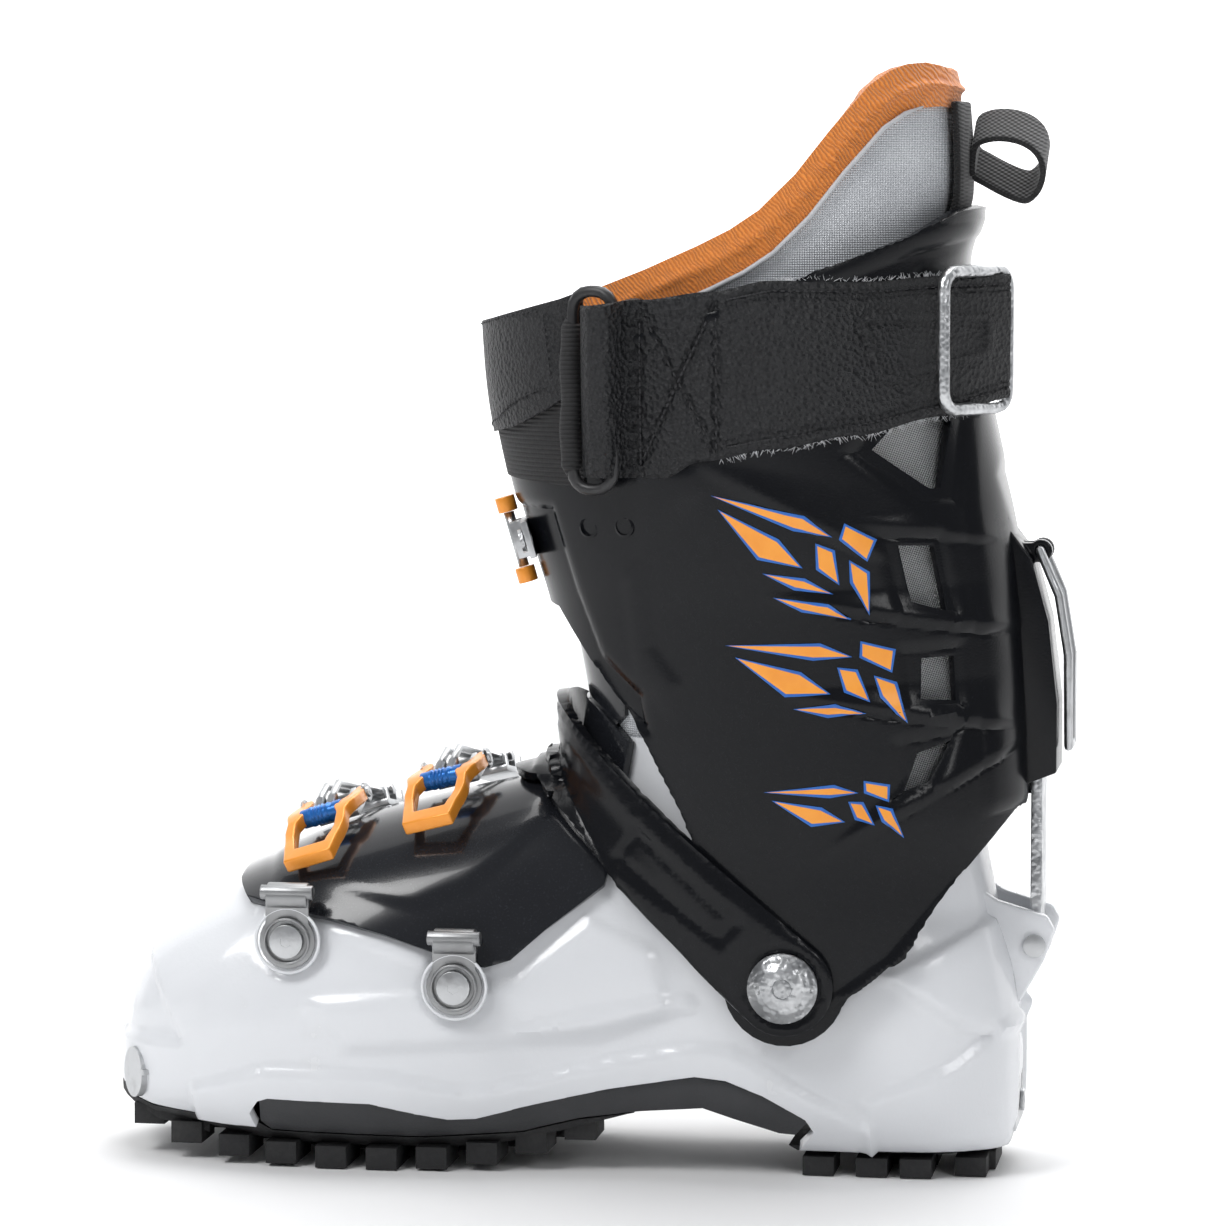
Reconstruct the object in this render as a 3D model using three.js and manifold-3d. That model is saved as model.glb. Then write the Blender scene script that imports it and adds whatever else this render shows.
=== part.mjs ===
// Alpine touring boot. Millimetres, +Z up, toe towards -X, wearer's left towards -Y.
// The origin is the centre of the heel tread, on the floor.
import * as THREE from "three";
import { mergeVertices } from "three/addons/utils/BufferGeometryUtils.js";
import Module from "manifold-3d";

const wasm = await Module();
wasm.setup();
const { Manifold } = wasm;

// ---- driving sizes ----
const SOLE_FRONT = -258.6;
const SOLE_REAR = 38.5;
const GAP = 0.4;
const PIVOT_X = -32.5;
const PIVOT_Z = 63.9;
const PIVOT_R = 9.0;
const SHELL_WALL = 4.0;
const CUFF_WALL = 4.0;
const LINER_WALL = 8.0;
const TONGUE_WALL = 3.5;
const CUFF_HALF = 50.0;
const SHELL_REACH = 90.0;
const LINER_REACH = 88.0;
const SHAFT_REACH = 93.5;
const BAR_X = 43.0;
const BAR_Z = 72.9;
const BAR_WIDTH = 20.0;
const BAR_THICK = 3.6;
const BAR_LENGTH = 82.0;
const BAR_PLAY = 3.1;
const BAR_PIN_R = 2.5;
const LUG_DEPTH = 5.0;
const STRAP_THICK = 3.0;
const ANKLE_STRAP_THICK = 4.0;
const ANKLE_STRAP_GAP = 1.6;
const LINER_TOP = 355.0;
const TOE_SEAM = -130.0;

// ---- section tables ----
// foot: x, low z, widest z, high z, half width, cavity floor z
const FOOT = [
  [-254.5, 24, 36, 50, 15, 41],
  [-252.0, 16, 36, 60, 26, 40],
  [-247.5, 13, 37, 67, 34, 39],
  [-240.0, 11, 38, 74, 41, 37],
  [-225.0, 9, 40, 83, 47, 30],
  [-205.0, 5, 42, 92, 51, 27.5],
  [-180.0, 3.5, 43, 103, 53, 27.5],
  [-155.0, 3.5, 44, 110, 52.5, 27.5],
  [-130.0, 3.5, 46, 116, 49, 27.5],
  [-110.0, 4, 48, 120, 45, 29],
  [-85.0, 4, 50, 118, 42.5, 35],
  [-60.0, 4, 52, 112, 42, 37],
  [-30.0, 5, 52, 108, 43, 33],
  [0.0, 5, 50, 104, 43, 30],
  [15.0, 5, 48, 98, 40, 30],
  [27.0, 6, 44, 88, 33, 32],
  [34.0, 8, 40, 70, 25, 34],
  [37.0, 16, 36, 56, 15, 35],
];
// ankle and cuff: z, front x, rear x, half width
const ANKLE = [
  [50, -112, 35.5, 42],
  [60, -112, 34.5, 43],
  [80, -111, 31, 43.2],
  [100, -108, 27, 43],
  [120, -104, 22, 41.5],
  [140, -100, 15, 39.5],
  [165, -97, 8, 38],
];
const CUFF = [
  [36, -80, 30, CUFF_HALF],
  [60, -90, 35.6, CUFF_HALF],
  [80, -97, 37.2, CUFF_HALF],
  [100, -101, 37.5, CUFF_HALF],
  [118, -103, 38.5, CUFF_HALF + 0.5],
  [150, -107, 37, CUFF_HALF + 1.5],
  [180, -113, 34.8, CUFF_HALF + 3],
  [200, -119, 32.5, CUFF_HALF + 5],
  [222, -125, 28.5, CUFF_HALF + 7],
  [245, -129.5, 23.5, CUFF_HALF + 8.5],
  [268, -131.5, 20, CUFF_HALF + 9.5],
  [290, -132, 17.5, CUFF_HALF + 10],
  [312, -130, 23, CUFF_HALF + 10],
  [362, -118, 20, CUFF_HALF + 6],
];

// ---- helpers ----
const group = new THREE.Group();
group.name = "alpine_touring_boot";

const material = (name, color, roughness, metalness) => {
  const made = new THREE.MeshStandardMaterial({ color, roughness, metalness });
  made.name = name;
  return made;
};
const WHITE = material("white_shell", 0xf1f2f3, 0.25, 0);
const BLACK = material("black_shell", 0x15161a, 0.3, 0);
const RUBBER = material("rubber", 0x1c1c1d, 0.8, 0);
const GREY = material("arch_plastic", 0x2b2b2d, 0.5, 0);
const STEEL = material("steel", 0xa9adb0, 0.35, 1);
const ZINC = material("zinc", 0xb9bdbf, 0.4, 1);
const ORANGE = material("orange", 0xf28a1e, 0.4, 0);
const BLUE = material("blue", 0x1f5fae, 0.35, 0);
const LINER = material("liner_fabric", 0xb3b8bd, 0.7, 0);
const STRAP = material("strap_leather", 0x1a1b1d, 0.6, 0);
const WEB = material("webbing", 0x17181a, 0.8, 0);

// the value row of a table at a station, smooth between its rows
const rowAt = (table, station) => {
  let i = 0;
  while (i < table.length - 2 && table[i + 1][0] < station) {
    i += 1;
  }
  const a = table[Math.max(i - 1, 0)];
  const b = table[i];
  const c = table[i + 1];
  const d = table[Math.min(i + 2, table.length - 1)];
  const span = c[0] - b[0];
  const t = Math.min(Math.max((station - b[0]) / span, 0), 1);
  return b.map((value, k) => {
    const left = ((c[k] - a[k]) / (c[0] - a[0])) * span;
    const right = ((d[k] - b[k]) / (d[0] - b[0])) * span;
    const t2 = t * t;
    const t3 = t2 * t;
    return (
      (2 * t3 - 3 * t2 + 1) * value +
      (t3 - 2 * t2 + t) * left +
      (3 * t2 - 2 * t3) * c[k] +
      (t3 - t2) * right
    );
  });
};
const bent = (value, n) => Math.sign(value) * Math.abs(value) ** (2 / n);

// a closed body through rings of points, its ends capped, or joined when it is a hoop
const loft = (rings, hoop = false) => {
  const count = rings[0].length;
  const points = [];
  for (const ring of rings) {
    points.push(...ring);
  }
  const faces = [];
  for (let i = 0; i < rings.length - (hoop ? 0 : 1); i += 1) {
    const next = ((i + 1) % rings.length) * count;
    for (let j = 0; j < count; j += 1) {
      const k = (j + 1) % count;
      const at = i * count;
      faces.push([at + j, at + k, next + k], [at + j, next + k, next + j]);
    }
  }
  const middle = (ring) => {
    const sum = new THREE.Vector3();
    for (const point of ring) {
      sum.add(point);
    }
    return sum.divideScalar(ring.length);
  };
  const base = (rings.length - 1) * count;
  if (!hoop) {
    const first = points.push(middle(rings[0])) - 1;
    const last = points.push(middle(rings[rings.length - 1])) - 1;
    for (let j = 0; j < count; j += 1) {
      const k = (j + 1) % count;
      faces.push([first, k, j], [last, base + j, base + k]);
    }
  }
  let volume = 0;
  for (const [a, b, c] of faces) {
    volume += points[a].dot(new THREE.Vector3().crossVectors(points[b], points[c]));
  }
  const index = volume > 0 ? faces.flat() : faces.map(([a, b, c]) => [a, c, b]).flat();
  const geometry = new THREE.BufferGeometry();
  geometry.setFromPoints(points);
  geometry.setIndex(index);
  return geometry;
};

const solid = (geometry) => {
  const bare = geometry.clone();
  bare.deleteAttribute("normal");
  bare.deleteAttribute("uv");
  const merged = mergeVertices(bare, 1e-4);
  return new Manifold(
    new wasm.Mesh({
      numProp: 3,
      vertProperties: Float32Array.from(merged.attributes.position.array),
      triVerts: Uint32Array.from(merged.index.array),
    }),
  );
};
const add = (name, body, look) => {
  const mesh = body.simplify(0.04).getMesh();
  const geometry = new THREE.BufferGeometry();
  geometry.setAttribute("position", new THREE.BufferAttribute(mesh.vertProperties, 3));
  geometry.setIndex(new THREE.BufferAttribute(mesh.triVerts, 1));
  geometry.computeVertexNormals();
  const made = new THREE.Mesh(geometry, look);
  made.name = name;
  group.add(made);
};

const FOOT_GRID = [-262, ...FOOT.map((row) => row[0]), -215, -192, -167, -142, -97, -45].sort(
  (a, b) => a - b,
);
const LEG_GRID = Array.from({ length: 26 }, (_, i) => 15 * i);
const between = (grid, from, to) => [from, ...grid.filter((v) => v > from + 1 && v < to - 1), to];
const stations = (from, to, count) =>
  Array.from({ length: count }, (_, i) => from + ((to - from) * i) / (count - 1));

// the foot body, its outer face moved out by grow; floor lifts its underside to the cavity floor
const footBody = (grow, from = -254.5, to = 37, floor = null, sides = 28) =>
  solid(
    loft(
      between(FOOT_GRID, from, to).map((x) => {
        const row = rowAt(FOOT, x);
        const low = floor === null ? row[1] - grow : row[5] + floor;
        const mid = floor === null ? row[2] : Math.max(row[2], row[5] + 12);
        const high = Math.max(row[3] + grow, mid + 4);
        const half = Math.max(row[4] + grow, 4);
        return Array.from({ length: sides }, (_, i) => {
          const angle = (2 * Math.PI * (i + 0.5)) / sides;
          const s = Math.sin(angle);
          const n = s > 0 ? 2.3 : floor === null ? 3.4 : 6;
          const rise = s > 0 ? high - mid : mid - low;
          return new THREE.Vector3(x, half * bent(Math.cos(angle), n), mid + rise * bent(s, n));
        });
      }),
    ),
  );
const footHalf = (x, z, grow = 0) => {
  const row = rowAt(FOOT, x);
  const rise = z > row[2] ? row[3] + grow - row[2] : row[2] - row[1];
  const n = z > row[2] ? 2.3 : 3.4;
  const t = Math.min(Math.abs(z - row[2]) / rise, 1);
  return (row[4] + grow) * (1 - t ** n) ** (1 / n);
};
// an upright body from a table of sections
const legBody = (table, grow, from, to, sides = 28) =>
  solid(
    loft(
      between(LEG_GRID, from, to).map((z) => {
        const row = rowAt(table, z);
        const centre = (row[1] + row[2]) / 2;
        const reach = (row[2] - row[1]) / 2 + grow;
        return Array.from({ length: sides }, (_, i) => {
          const angle = (2 * Math.PI * (i + 0.5)) / sides;
          const x = centre + reach * bent(Math.cos(angle), 2.35);
          return new THREE.Vector3(x, (row[3] + grow) * bent(Math.sin(angle), 2.35), z);
        });
      }),
    ),
  );
// a side outline (x, z) carried from y0 to y1
const side = (outline, y0 = -90, y1 = 90) =>
  Manifold.extrude([orient(outline)], y1 - y0).rotate([90, 0, 0]).translate([0, y1, 0]);
// a plan outline (x, y) carried from z0 to z1
const plan = (outline, z0, z1) => Manifold.extrude([orient(outline)], z1 - z0).translate([0, 0, z0]);
function orient(outline) {
  let area = 0;
  outline.forEach(([x, y], i) => {
    const [u, v] = outline[(i + 1) % outline.length];
    area += x * v - u * y;
  });
  return area > 0 ? outline : [...outline].reverse();
}
const box = (x0, x1, y0, y1, z0, z1) =>
  Manifold.cube([x1 - x0, y1 - y0, z1 - z0]).translate([x0, y0, z0]);
// a disc or drum on an axis along Y
const drum = (x, z, r, y0, y1, sides = 32, rEnd = r) =>
  Manifold.cylinder(y1 - y0, rEnd, r, sides).rotate([90, 0, 0]).translate([x, y1, z]);
const rod = (from, to, r, sides = 10) => {
  const a = new THREE.Vector3(...from);
  const b = new THREE.Vector3(...to);
  const made = new THREE.CylinderGeometry(r, r, a.distanceTo(b), sides);
  const turn = new THREE.Quaternion().setFromUnitVectors(
    new THREE.Vector3(0, 1, 0),
    b.clone().sub(a).normalize(),
  );
  made.applyQuaternion(turn);
  made.translate(...a.clone().add(b).multiplyScalar(0.5).toArray());
  return solid(made);
};
// a bent wire with mitred corners, open or closed on itself
const wire = (path, r, closed = false, sides = 8) => {
  const points = path.map((at) => new THREE.Vector3(...at));
  const count = points.length;
  const heading = (i) =>
    points[(i + 1) % count].clone().sub(points[(i + count) % count]).normalize();
  const facing = (i) => {
    const before = closed || i > 0 ? heading((i + count - 1) % count) : heading(i);
    const after = closed || i < count - 1 ? heading(i) : before;
    return before.clone().add(after).normalize();
  };
  const slide = (ring, along, i) =>
    ring.map((at) => {
      const gap = points[i].clone().sub(at).dot(facing(i)) / along.dot(facing(i));
      return at.clone().addScaledVector(along, gap);
    });
  const first = heading(0);
  const start = new THREE.Vector3(0.31, 0.55, 0.77).cross(first).normalize();
  let ring = Array.from({ length: sides }, (_, k) =>
    start
      .clone()
      .applyAxisAngle(first, (2 * Math.PI * k) / sides)
      .multiplyScalar(r)
      .add(points[0]),
  );
  ring = slide(ring, first, 0);
  const rings = [ring];
  for (let i = 1; i < (closed ? count + 1 : count); i += 1) {
    ring = slide(ring, heading(i - 1), i % count);
    rings.push(ring);
  }
  if (!closed) {
    return solid(loft(rings));
  }
  rings.pop();
  return solid(loft(rings, true));
};
const circle = (x, z, r, from = 0, to = 360, count = 24) =>
  stations(from, to, count).map((a) => {
    const t = (a * Math.PI) / 180;
    return [x + r * Math.cos(t), z + r * Math.sin(t)];
  });
const reachDisc = (r) => drum(PIVOT_X, PIVOT_Z, r, -100, 100, 72);

// ---- lower shell ----
const SOLE_LINE = [[-270, 30], [-258.5, 22], [-240, 17.5], [-215, 15.5], [-203, 15]];
const INSERT_TOP = [
  [-201.5, 24], [-165, 23.5], [-150, 20], [-134, 19], [-118, 22.5],
  [-90, 28.5], [-62, 33], [-46, 30.5], [-24, 21],
];
const HEEL_LINE = [[-30, 9.8], [60, 9.8]];
const aboveSole = side([
  ...SOLE_LINE, ...INSERT_TOP, [-30, 14], ...HEEL_LINE, [60, 200], [-270, 200],
]);
const toeLedge = plan(
  [
    ...stations(-62, 62, 15).map((a) => {
      const t = (a * Math.PI) / 180;
      return [SOLE_FRONT + 40 - 40 * Math.cos(t), 38 * Math.sin(t)];
    }),
    [-222, 34],
    [-222, -34],
  ],
  20,
  38.4,
);
const heelLedge = plan(
  [
    ...stations(-70, 70, 15).map((a) => {
      const t = (a * Math.PI) / 180;
      return [SOLE_REAR - 34 + 34 * Math.cos(t), 33 * Math.sin(t)];
    }),
    [0, 33],
    [0, -33],
  ],
  29,
  40.5,
);
const heelStem = plan(
  [
    ...stations(-70, 70, 11).map((a) => {
      const t = (a * Math.PI) / 180;
      return [35 - 34 + 34 * Math.cos(t), 31 * Math.sin(t)];
    }),
    [0, 31],
    [0, -31],
  ],
  10,
  34,
);
const ankleOuter = legBody(ANKLE, 0, 50, 165);
const shellOuter = footBody(0, -254.5, 37, null).add(ankleOuter);
const ears = side(
  [[10, 104], [24, 88], [34, 86.5], [47.5, 82.3], [49.3, 77.5], [45, 66], [36, 51], [26, 40], [10, 40]],
  -15,
  15,
);
const earSlot = box(32, 60, -BAR_WIDTH / 2 - 0.5, BAR_WIDTH / 2 + 0.5, 60, 100);
const cavity = footBody(-SHELL_WALL, -249, 33, 0).add(
  legBody(ANKLE, -SHELL_WALL, 55, 166),
);
const throat = side([
  [-207, 80], [-150, 84], [-118, 88], [-101, 104], [-95, 120], [-95, 170], [-207, 170],
], -31, 31);
const techBar = drum(-243, 26, 7.2, -31.5, 31.5, 24);
const lowerShell = shellOuter
  .add(ears)
  .subtract(earSlot)
  .intersect(reachDisc(SHELL_REACH).add(box(-300, 80, -90, 90, -5, PIVOT_Z)).add(
    side([[-300, 40], [-92, 40], [-88, 100], [-100, 130], [-300, 130]]),
  ))
  .add(toeLedge)
  .add(heelLedge)
  .add(heelStem)
  .intersect(aboveSole)
  .subtract(cavity)
  .subtract(throat)
  .subtract(drum(-243, 26, 7.2 + GAP, -60, 60, 24))
  .subtract(box(33.4, 60, -16.4, 16.4, 12.6, 28.4))
  .subtract(drum(PIVOT_X, PIVOT_Z, 5.2, -90, 90))
  .subtract(drum(BAR_X, BAR_Z, BAR_PIN_R + 0.3, -40, 40, 20));
add("lower_shell", lowerShell, WHITE);

// ---- sole ----
const archInsert = footBody(0.6, -254, 36, null).intersect(
  side([
    [-201.5, 23.6], [-165, 23.1], [-150, 19.6], [-134, 18.6], [-118, 22.1], [-90, 28.1],
    [-62, 32.6], [-46, 30.1], [-24.6, 20.6], [-30.8, 13.6], [-36, 14], [-60, 22], [-80, 20.5],
    [-100, 17.8], [-118, 13], [-150, 11], [-199, 12], [-202, 15],
  ]),
);
add("arch_insert", archInsert, GREY);

const tread = [
  [-256, 15], [-240, 8.5], [-226, 4.4], [-205, 1.6], [-180, 0.2], [-160, 0], [-135, 1.5],
  [-118, 4.8], [-98, 10.5], [-84, 14.5],
];
const slabUnder = tread.map(([x, z]) => [x, z + LUG_DEPTH]);
const forefootSlab = footBody(0.4, -256, -70, null).intersect(
  side([
    ...slabUnder, [-82, 19.9], [-100, 17.3], [-118, 12.5], [-150, 10.5], [-199, 11.5],
    [-203.2, 14.5], [-215, 15], [-240, 17], [-256, 20.6],
  ]),
);
const toePad = plan(
  [
    ...stations(-60, 60, 13).map((a) => {
      const t = (a * Math.PI) / 180;
      return [SOLE_FRONT + 40 - 39.6 * Math.cos(t), 37.4 * Math.sin(t)];
    }),
    [-222, 33],
    [-222, -33],
  ],
  0,
  40,
).intersect(side([
  [-270, 30], [-258.6, 21.6], [-240, 17], [-222, 15.4], [-222, 8.4], [-240, 12.5], [-258.6, 19],
]));
const lugHeight = (x) => Math.max(rowAt(tread, x)[1], 0);
let forefoot = forefootSlab.add(toePad);
const LUG_ROWS = [-243, -229, -212, -196, -179.5, -163, -147, -131, -115.5, -100];
for (const x of LUG_ROWS) {
  const half = footHalf(x, 16) * 0.93;
  const low = lugHeight(x);
  for (const sign of [-1, 1]) {
    const y0 = Math.min(sign * half, sign * half * 0.5);
    const y1 = Math.max(sign * half, sign * half * 0.5);
    forefoot = forefoot.add(box(x - 5, x + 5, y0, y1, low, Math.min(low + LUG_DEPTH + 2, 16.4)));
  }
  if (x > -235 && x < -105) {
    forefoot = forefoot.add(box(x + 3, x + 11, -half * 0.3, half * 0.3, low + 0.4, low + 8));
  }
}
add("outsole_forefoot", forefoot, RUBBER);

const heelSlab = footBody(0.4, -40, 36.5, null).intersect(
  side([[-33.6, 9.4], [35, 9.4], [35, 5], [-31, 5]]),
);
let heel = heelSlab;
for (const x of [-24, -7, 7, 24]) {
  const half = Math.min(footHalf(x, 20), 34) * (x > 15 ? 0.78 : 0.93);
  for (const sign of [-1, 1]) {
    const y0 = Math.min(sign * half, sign * half * 0.42);
    const y1 = Math.max(sign * half, sign * half * 0.42);
    heel = heel.add(box(x - 5, x + 5, y0, y1, 0, 6));
  }
}
heel = heel.add(box(-12, 12, -9, 9, 0, 6));
heel = heel.add(box(22, 31, -13, 13, 0, 6));
add("outsole_heel", heel, RUBBER);

const socket = (sign) =>
  solid(new THREE.ConeGeometry(3.2, 5, 16)).rotate([sign > 0 ? 180 : 0, 0, 0]).translate([
    -243, sign * 29.2, 26,
  ]);
add("toe_tech_insert", techBar.subtract(socket(1)).subtract(socket(-1)), STEEL);
const heelPlate = box(33.8, 37.6, -16, 16, 13, 28)
  .subtract(box(35.5, 40, -9.5, -6.5, 17, 30))
  .subtract(box(35.5, 40, 6.5, 9.5, 17, 30));
add("heel_tech_plate", heelPlate, STEEL);
add(
  "heel_plate_screw",
  rod([37.9, 0, 20.5], [39.1, 0, 20.5], 3.6, 20).subtract(rod([38.5, 0, 20.5], [40, 0, 20.5], 1.6, 6)),
  STEEL,
);

const boardStations = stations(-240, 22, 16);
const bootBoard = solid(
  loft(
    boardStations.map((x) => {
      const row = rowAt(FOOT, x);
      const half = (row[4] - SHELL_WALL) * 0.6;
      return [
        new THREE.Vector3(x, -half, row[5] + 1.3),
        new THREE.Vector3(x, half, row[5] + 1.3),
        new THREE.Vector3(x, half + 1, row[5] + 3.8),
        new THREE.Vector3(x, -half - 1, row[5] + 3.8),
      ];
    }),
  ),
);
add("boot_board", bootBoard, GREY);

// ---- liner, parted on a cylinder about the cuff pivot ----
const linerFootOuter = footBody(-SHELL_WALL - 1.5, -240, 25, 5.6).add(
  legBody(ANKLE, -SHELL_WALL - 1.5, 58, 164),
);
const linerFootInner = footBody(-SHELL_WALL - LINER_WALL, -233, 18, 10).add(
  legBody(ANKLE, -SHELL_WALL - LINER_WALL, 62, 166),
);
const ankleKeep = reachDisc(LINER_REACH).add(
  side([[-300, 0], [60, 0], [60, PIVOT_Z], [-100, 108], [-120, 125], [-300, 125]]),
);
const linerFoot = linerFootOuter.intersect(ankleKeep).subtract(linerFootInner);
// the toe box is a moulded cup sewn to the foot along a cross seam
add("liner_foot", linerFoot.intersect(box(TOE_SEAM + GAP, 60, -100, 100, 0, 400)), LINER);
add("liner_toe_box", linerFoot.intersect(box(-300, TOE_SEAM, -100, 100, 0, 400)), LINER);

const rim = [
  [-150, 268], [-112, 276], [-94, 281], [-60, 295], [-41, 306], [-19.6, 330.6], [-8, 344.5],
  [0, 352], [6, LINER_TOP], [60, LINER_TOP], [60, 60], [-150, 60],
];
const linerShaft = legBody(CUFF, -CUFF_WALL - 1.4, 90, 361)
  .subtract(legBody(CUFF, -CUFF_WALL - LINER_WALL - 2, 80, 365))
  .intersect(side(rim))
  .subtract(reachDisc(SHAFT_REACH))
  .subtract(
    legBody(CUFF, -CUFF_WALL - 0.7, 120, 215)
      .subtract(legBody(CUFF, -CUFF_WALL - 4.8, 118, 217))
      .intersect(side([[-150, 140], [-84, 140], [-84, 206], [-150, 212.5]])),
  )
  .intersect(side([[-150, 203], [-98, 180], [-84, 120], [60, 120], [60, 400], [-150, 400]]));
add("liner_shaft", linerShaft, LINER);

// ---- tongue: the instep part stays on the shell, the shin part moves with the cuff ----
const tongueOuter = footBody(0.6 + TONGUE_WALL, -262, 20, null).add(
  legBody(ANKLE, 0.6 + TONGUE_WALL, 50, 165),
);
const tongueInner = footBody(0.6, -262, 24, null).add(legBody(ANKLE, 0.6, 49, 166));
const tongueEdge = side([
  [-216, 99], [-213.5, 86], [-196, 84], [-179.4, 81.7], [-160, 77], [-143.3, 71.6],
  [-134, 68.6], [-127.2, 67.2], [-119, 70.5], [-109.5, 78.9], [-91.5, 92.3], [-88, 124],
  [-86, 132], [-94, 150], [-170, 150],
]);
add(
  "tongue_instep",
  tongueOuter.subtract(tongueInner).intersect(tongueEdge).subtract(
    side([[PIVOT_X, PIVOT_Z], [PIVOT_X - 118, PIVOT_Z + 131], [PIVOT_X, PIVOT_Z + 180]]),
  ),
  BLACK,
);
const shinOuter = legBody(CUFF, -CUFF_WALL - 1.2, 120, 215);
const shinInner = legBody(CUFF, -CUFF_WALL - 1.2 - 3, 118, 217);
const tongueShin = shinOuter
  .subtract(shinInner)
  .intersect(side([[-150, 161], [-86, 161], [-86, 204], [-150, 210]]))
  .subtract(reachDisc(107));
add("tongue_shin", tongueShin, BLACK);

// ---- cuff ----
const cuffOutline = [
  [-150, 258], [-100, 262], [-60, 272], [-22.3, 287], [4, 298], [16, 307.5], [60, 307.5],
  [60, 118.3], [35.3, 118.3], [21.8, 100.9], [3.6, 72.7], [-12.7, 61],
  ...circle(PIVOT_X, PIVOT_Z, 19, -12, -168, 14), [-52.5, 80], [-59.5, 102.2], [-66, 118],
  [-77.5, 139.9], [-92, 161], [-105.8, 180.7], [-150, 190],
];
const windows = [
  [[-11, 232], [3, 246], [13, 221], [-1, 222.5]],
  [[1, 202], [11, 201], [14.5, 181], [5, 185]],
  [[7.5, 168], [17, 166], [18.5, 151], [8, 154]],
  [[1, 138], [12, 134.5], [2, 125], [-3, 131]],
];
let cuff = legBody(CUFF, 0, 36, 312)
  .subtract(legBody(CUFF, -CUFF_WALL, 35, 313))
  .intersect(side(cuffOutline));
for (const sign of [-1, 1]) {
  const y0 = sign < 0 ? -CUFF_HALF - 5 : CUFF_HALF - 0.5;
  const y1 = sign < 0 ? -CUFF_HALF + 0.5 : CUFF_HALF + 5;
  const rimRing = drum(PIVOT_X, PIVOT_Z, 19, y0, y1).subtract(
    drum(PIVOT_X, PIVOT_Z, 16.2, y0 - 1, y1 + 1),
  ).intersect(side([
    [PIVOT_X, PIVOT_Z], [PIVOT_X - 16, PIVOT_Z - 40], [PIVOT_X + 40, PIVOT_Z - 40],
    [PIVOT_X + 40, PIVOT_Z + 8],
  ]));
  cuff = cuff.add(rimRing);
  for (const outline of windows) {
    cuff = cuff.subtract(side(outline, sign < 0 ? -90 : 15, sign < 0 ? -15 : 90));
  }
}
cuff = cuff.subtract(drum(PIVOT_X, PIVOT_Z, 5.2, -90, 90));
cuff = cuff.subtract(box(30, 60, -BAR_WIDTH / 2 - 2, BAR_WIDTH / 2 + 2, 110, 124.5));
cuff = cuff.subtract(rod([-95, -90, 206.9], [-95, 0, 206.9], 2.2));
cuff = cuff.subtract(rod([-83, -90, 207.6], [-83, 0, 207.6], 2.2));
add("cuff_shell", cuff, BLACK);

for (const [name, sign] of [["left", -1], ["right", 1]]) {
  const y = (from, to) => [Math.min(sign * from, sign * to), Math.max(sign * from, sign * to)];
  const head = CUFF_HALF + ANKLE_STRAP_GAP + ANKLE_STRAP_THICK + GAP;
  const rivet = drum(PIVOT_X, PIVOT_Z, 4.8, ...y(40.2, head))
    .add(drum(PIVOT_X, PIVOT_Z, PIVOT_R + 2, ...y(head, head + 2.2), 32, PIVOT_R + 2));
  add(`pivot_rivet_${name}`, rivet, ZINC);
}

// ---- ankle strap ----
const overTongue = (grow) =>
  footBody(grow, -262, 30, null).add(legBody(ANKLE, grow, 46, 168));
const strapInner = overTongue(5.2).add(legBody(CUFF, ANKLE_STRAP_GAP, 36, 172));
const strapOuter = overTongue(5.2 + ANKLE_STRAP_THICK).add(
  legBody(CUFF, ANKLE_STRAP_GAP + ANKLE_STRAP_THICK, 34, 174),
);
const strapBand = [
  ...circle(PIVOT_X, PIVOT_Z, 15.4, -132, 48, 14), [-60, 107], [-108, 150.5], [-113, 153.5], [-150, 153.5],
  [-150, 126], [-116, 121], [-110.6, 116.5], [-78.8, 86.3],
];
const strapLeft = side(strapBand, -90, 0);
const strapRight = side(
  [
    [-150, 153.5], [-113, 153.5], [-108, 150.5], [-88, 132], [-104, 111],
    [-110.6, 116.5], [-116, 121], [-150, 126],
  ],
  -0.01,
  90,
);
const ankleStrap = strapOuter
  .subtract(strapInner)
  .intersect(strapLeft.add(strapRight))
  .subtract(drum(PIVOT_X, PIVOT_Z, 5.2, -90, 0));
add("ankle_strap", ankleStrap, BLACK);

// ---- tongue side hinges ----
for (const [name, x, z, topX, topZ] of [
  ["toe", -191.4, 74.5, -189.6, 88],
  ["instep", -136.9, 61.5, -136, 75],
]) {
  const skin = -Math.max(footHalf(x - 9, z - 9), footHalf(x + 9, z - 9), footHalf(x, z));
  const grow = TONGUE_WALL + 0.6;
  const over = -Math.max(footHalf(topX - 9, topZ - 12, grow), footHalf(topX + 9, topZ - 12, grow));
  const base = Math.min(skin, over) - GAP;
  const plate = drum(x, z, 9, base - 1.6, base, 24)
    .add(box(x - 7, x + 7, base - 1.6, base, z, topZ + 2))
    .add(rod([x - 8.5, base - 1, topZ + 2], [x + 8.5, base - 1, topZ + 2], 2.4));
  add(`hinge_bracket_${name}`, plate.subtract(rod([x, -90, z], [x, 0, z], 3.7)), STEEL);
  add(
    `hinge_rivet_${name}`,
    drum(x, z, 3.3, base - 2, base - 0.1, 20).add(drum(x, z, 5.4, base - 3.6, base - 2, 20)),
    STEEL,
  );
}

// ---- buckles ----
// each buckle has its own frame: u along the hinge, v across towards the ladder, w outwards
const frameOf = (origin, across, out) => {
  const v = new THREE.Vector3(...across).normalize();
  const w = new THREE.Vector3(...out);
  w.addScaledVector(v, -w.dot(v)).normalize();
  const u = new THREE.Vector3().crossVectors(v, w);
  return new THREE.Matrix4().makeBasis(u, v, w).setPosition(...origin);
};
const placed = (body, frame) => body.transform(frame.elements);
const LEVER_HALF = 10.5;
const CAP_AT = -13;
const PIN_R = 1.5;

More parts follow.
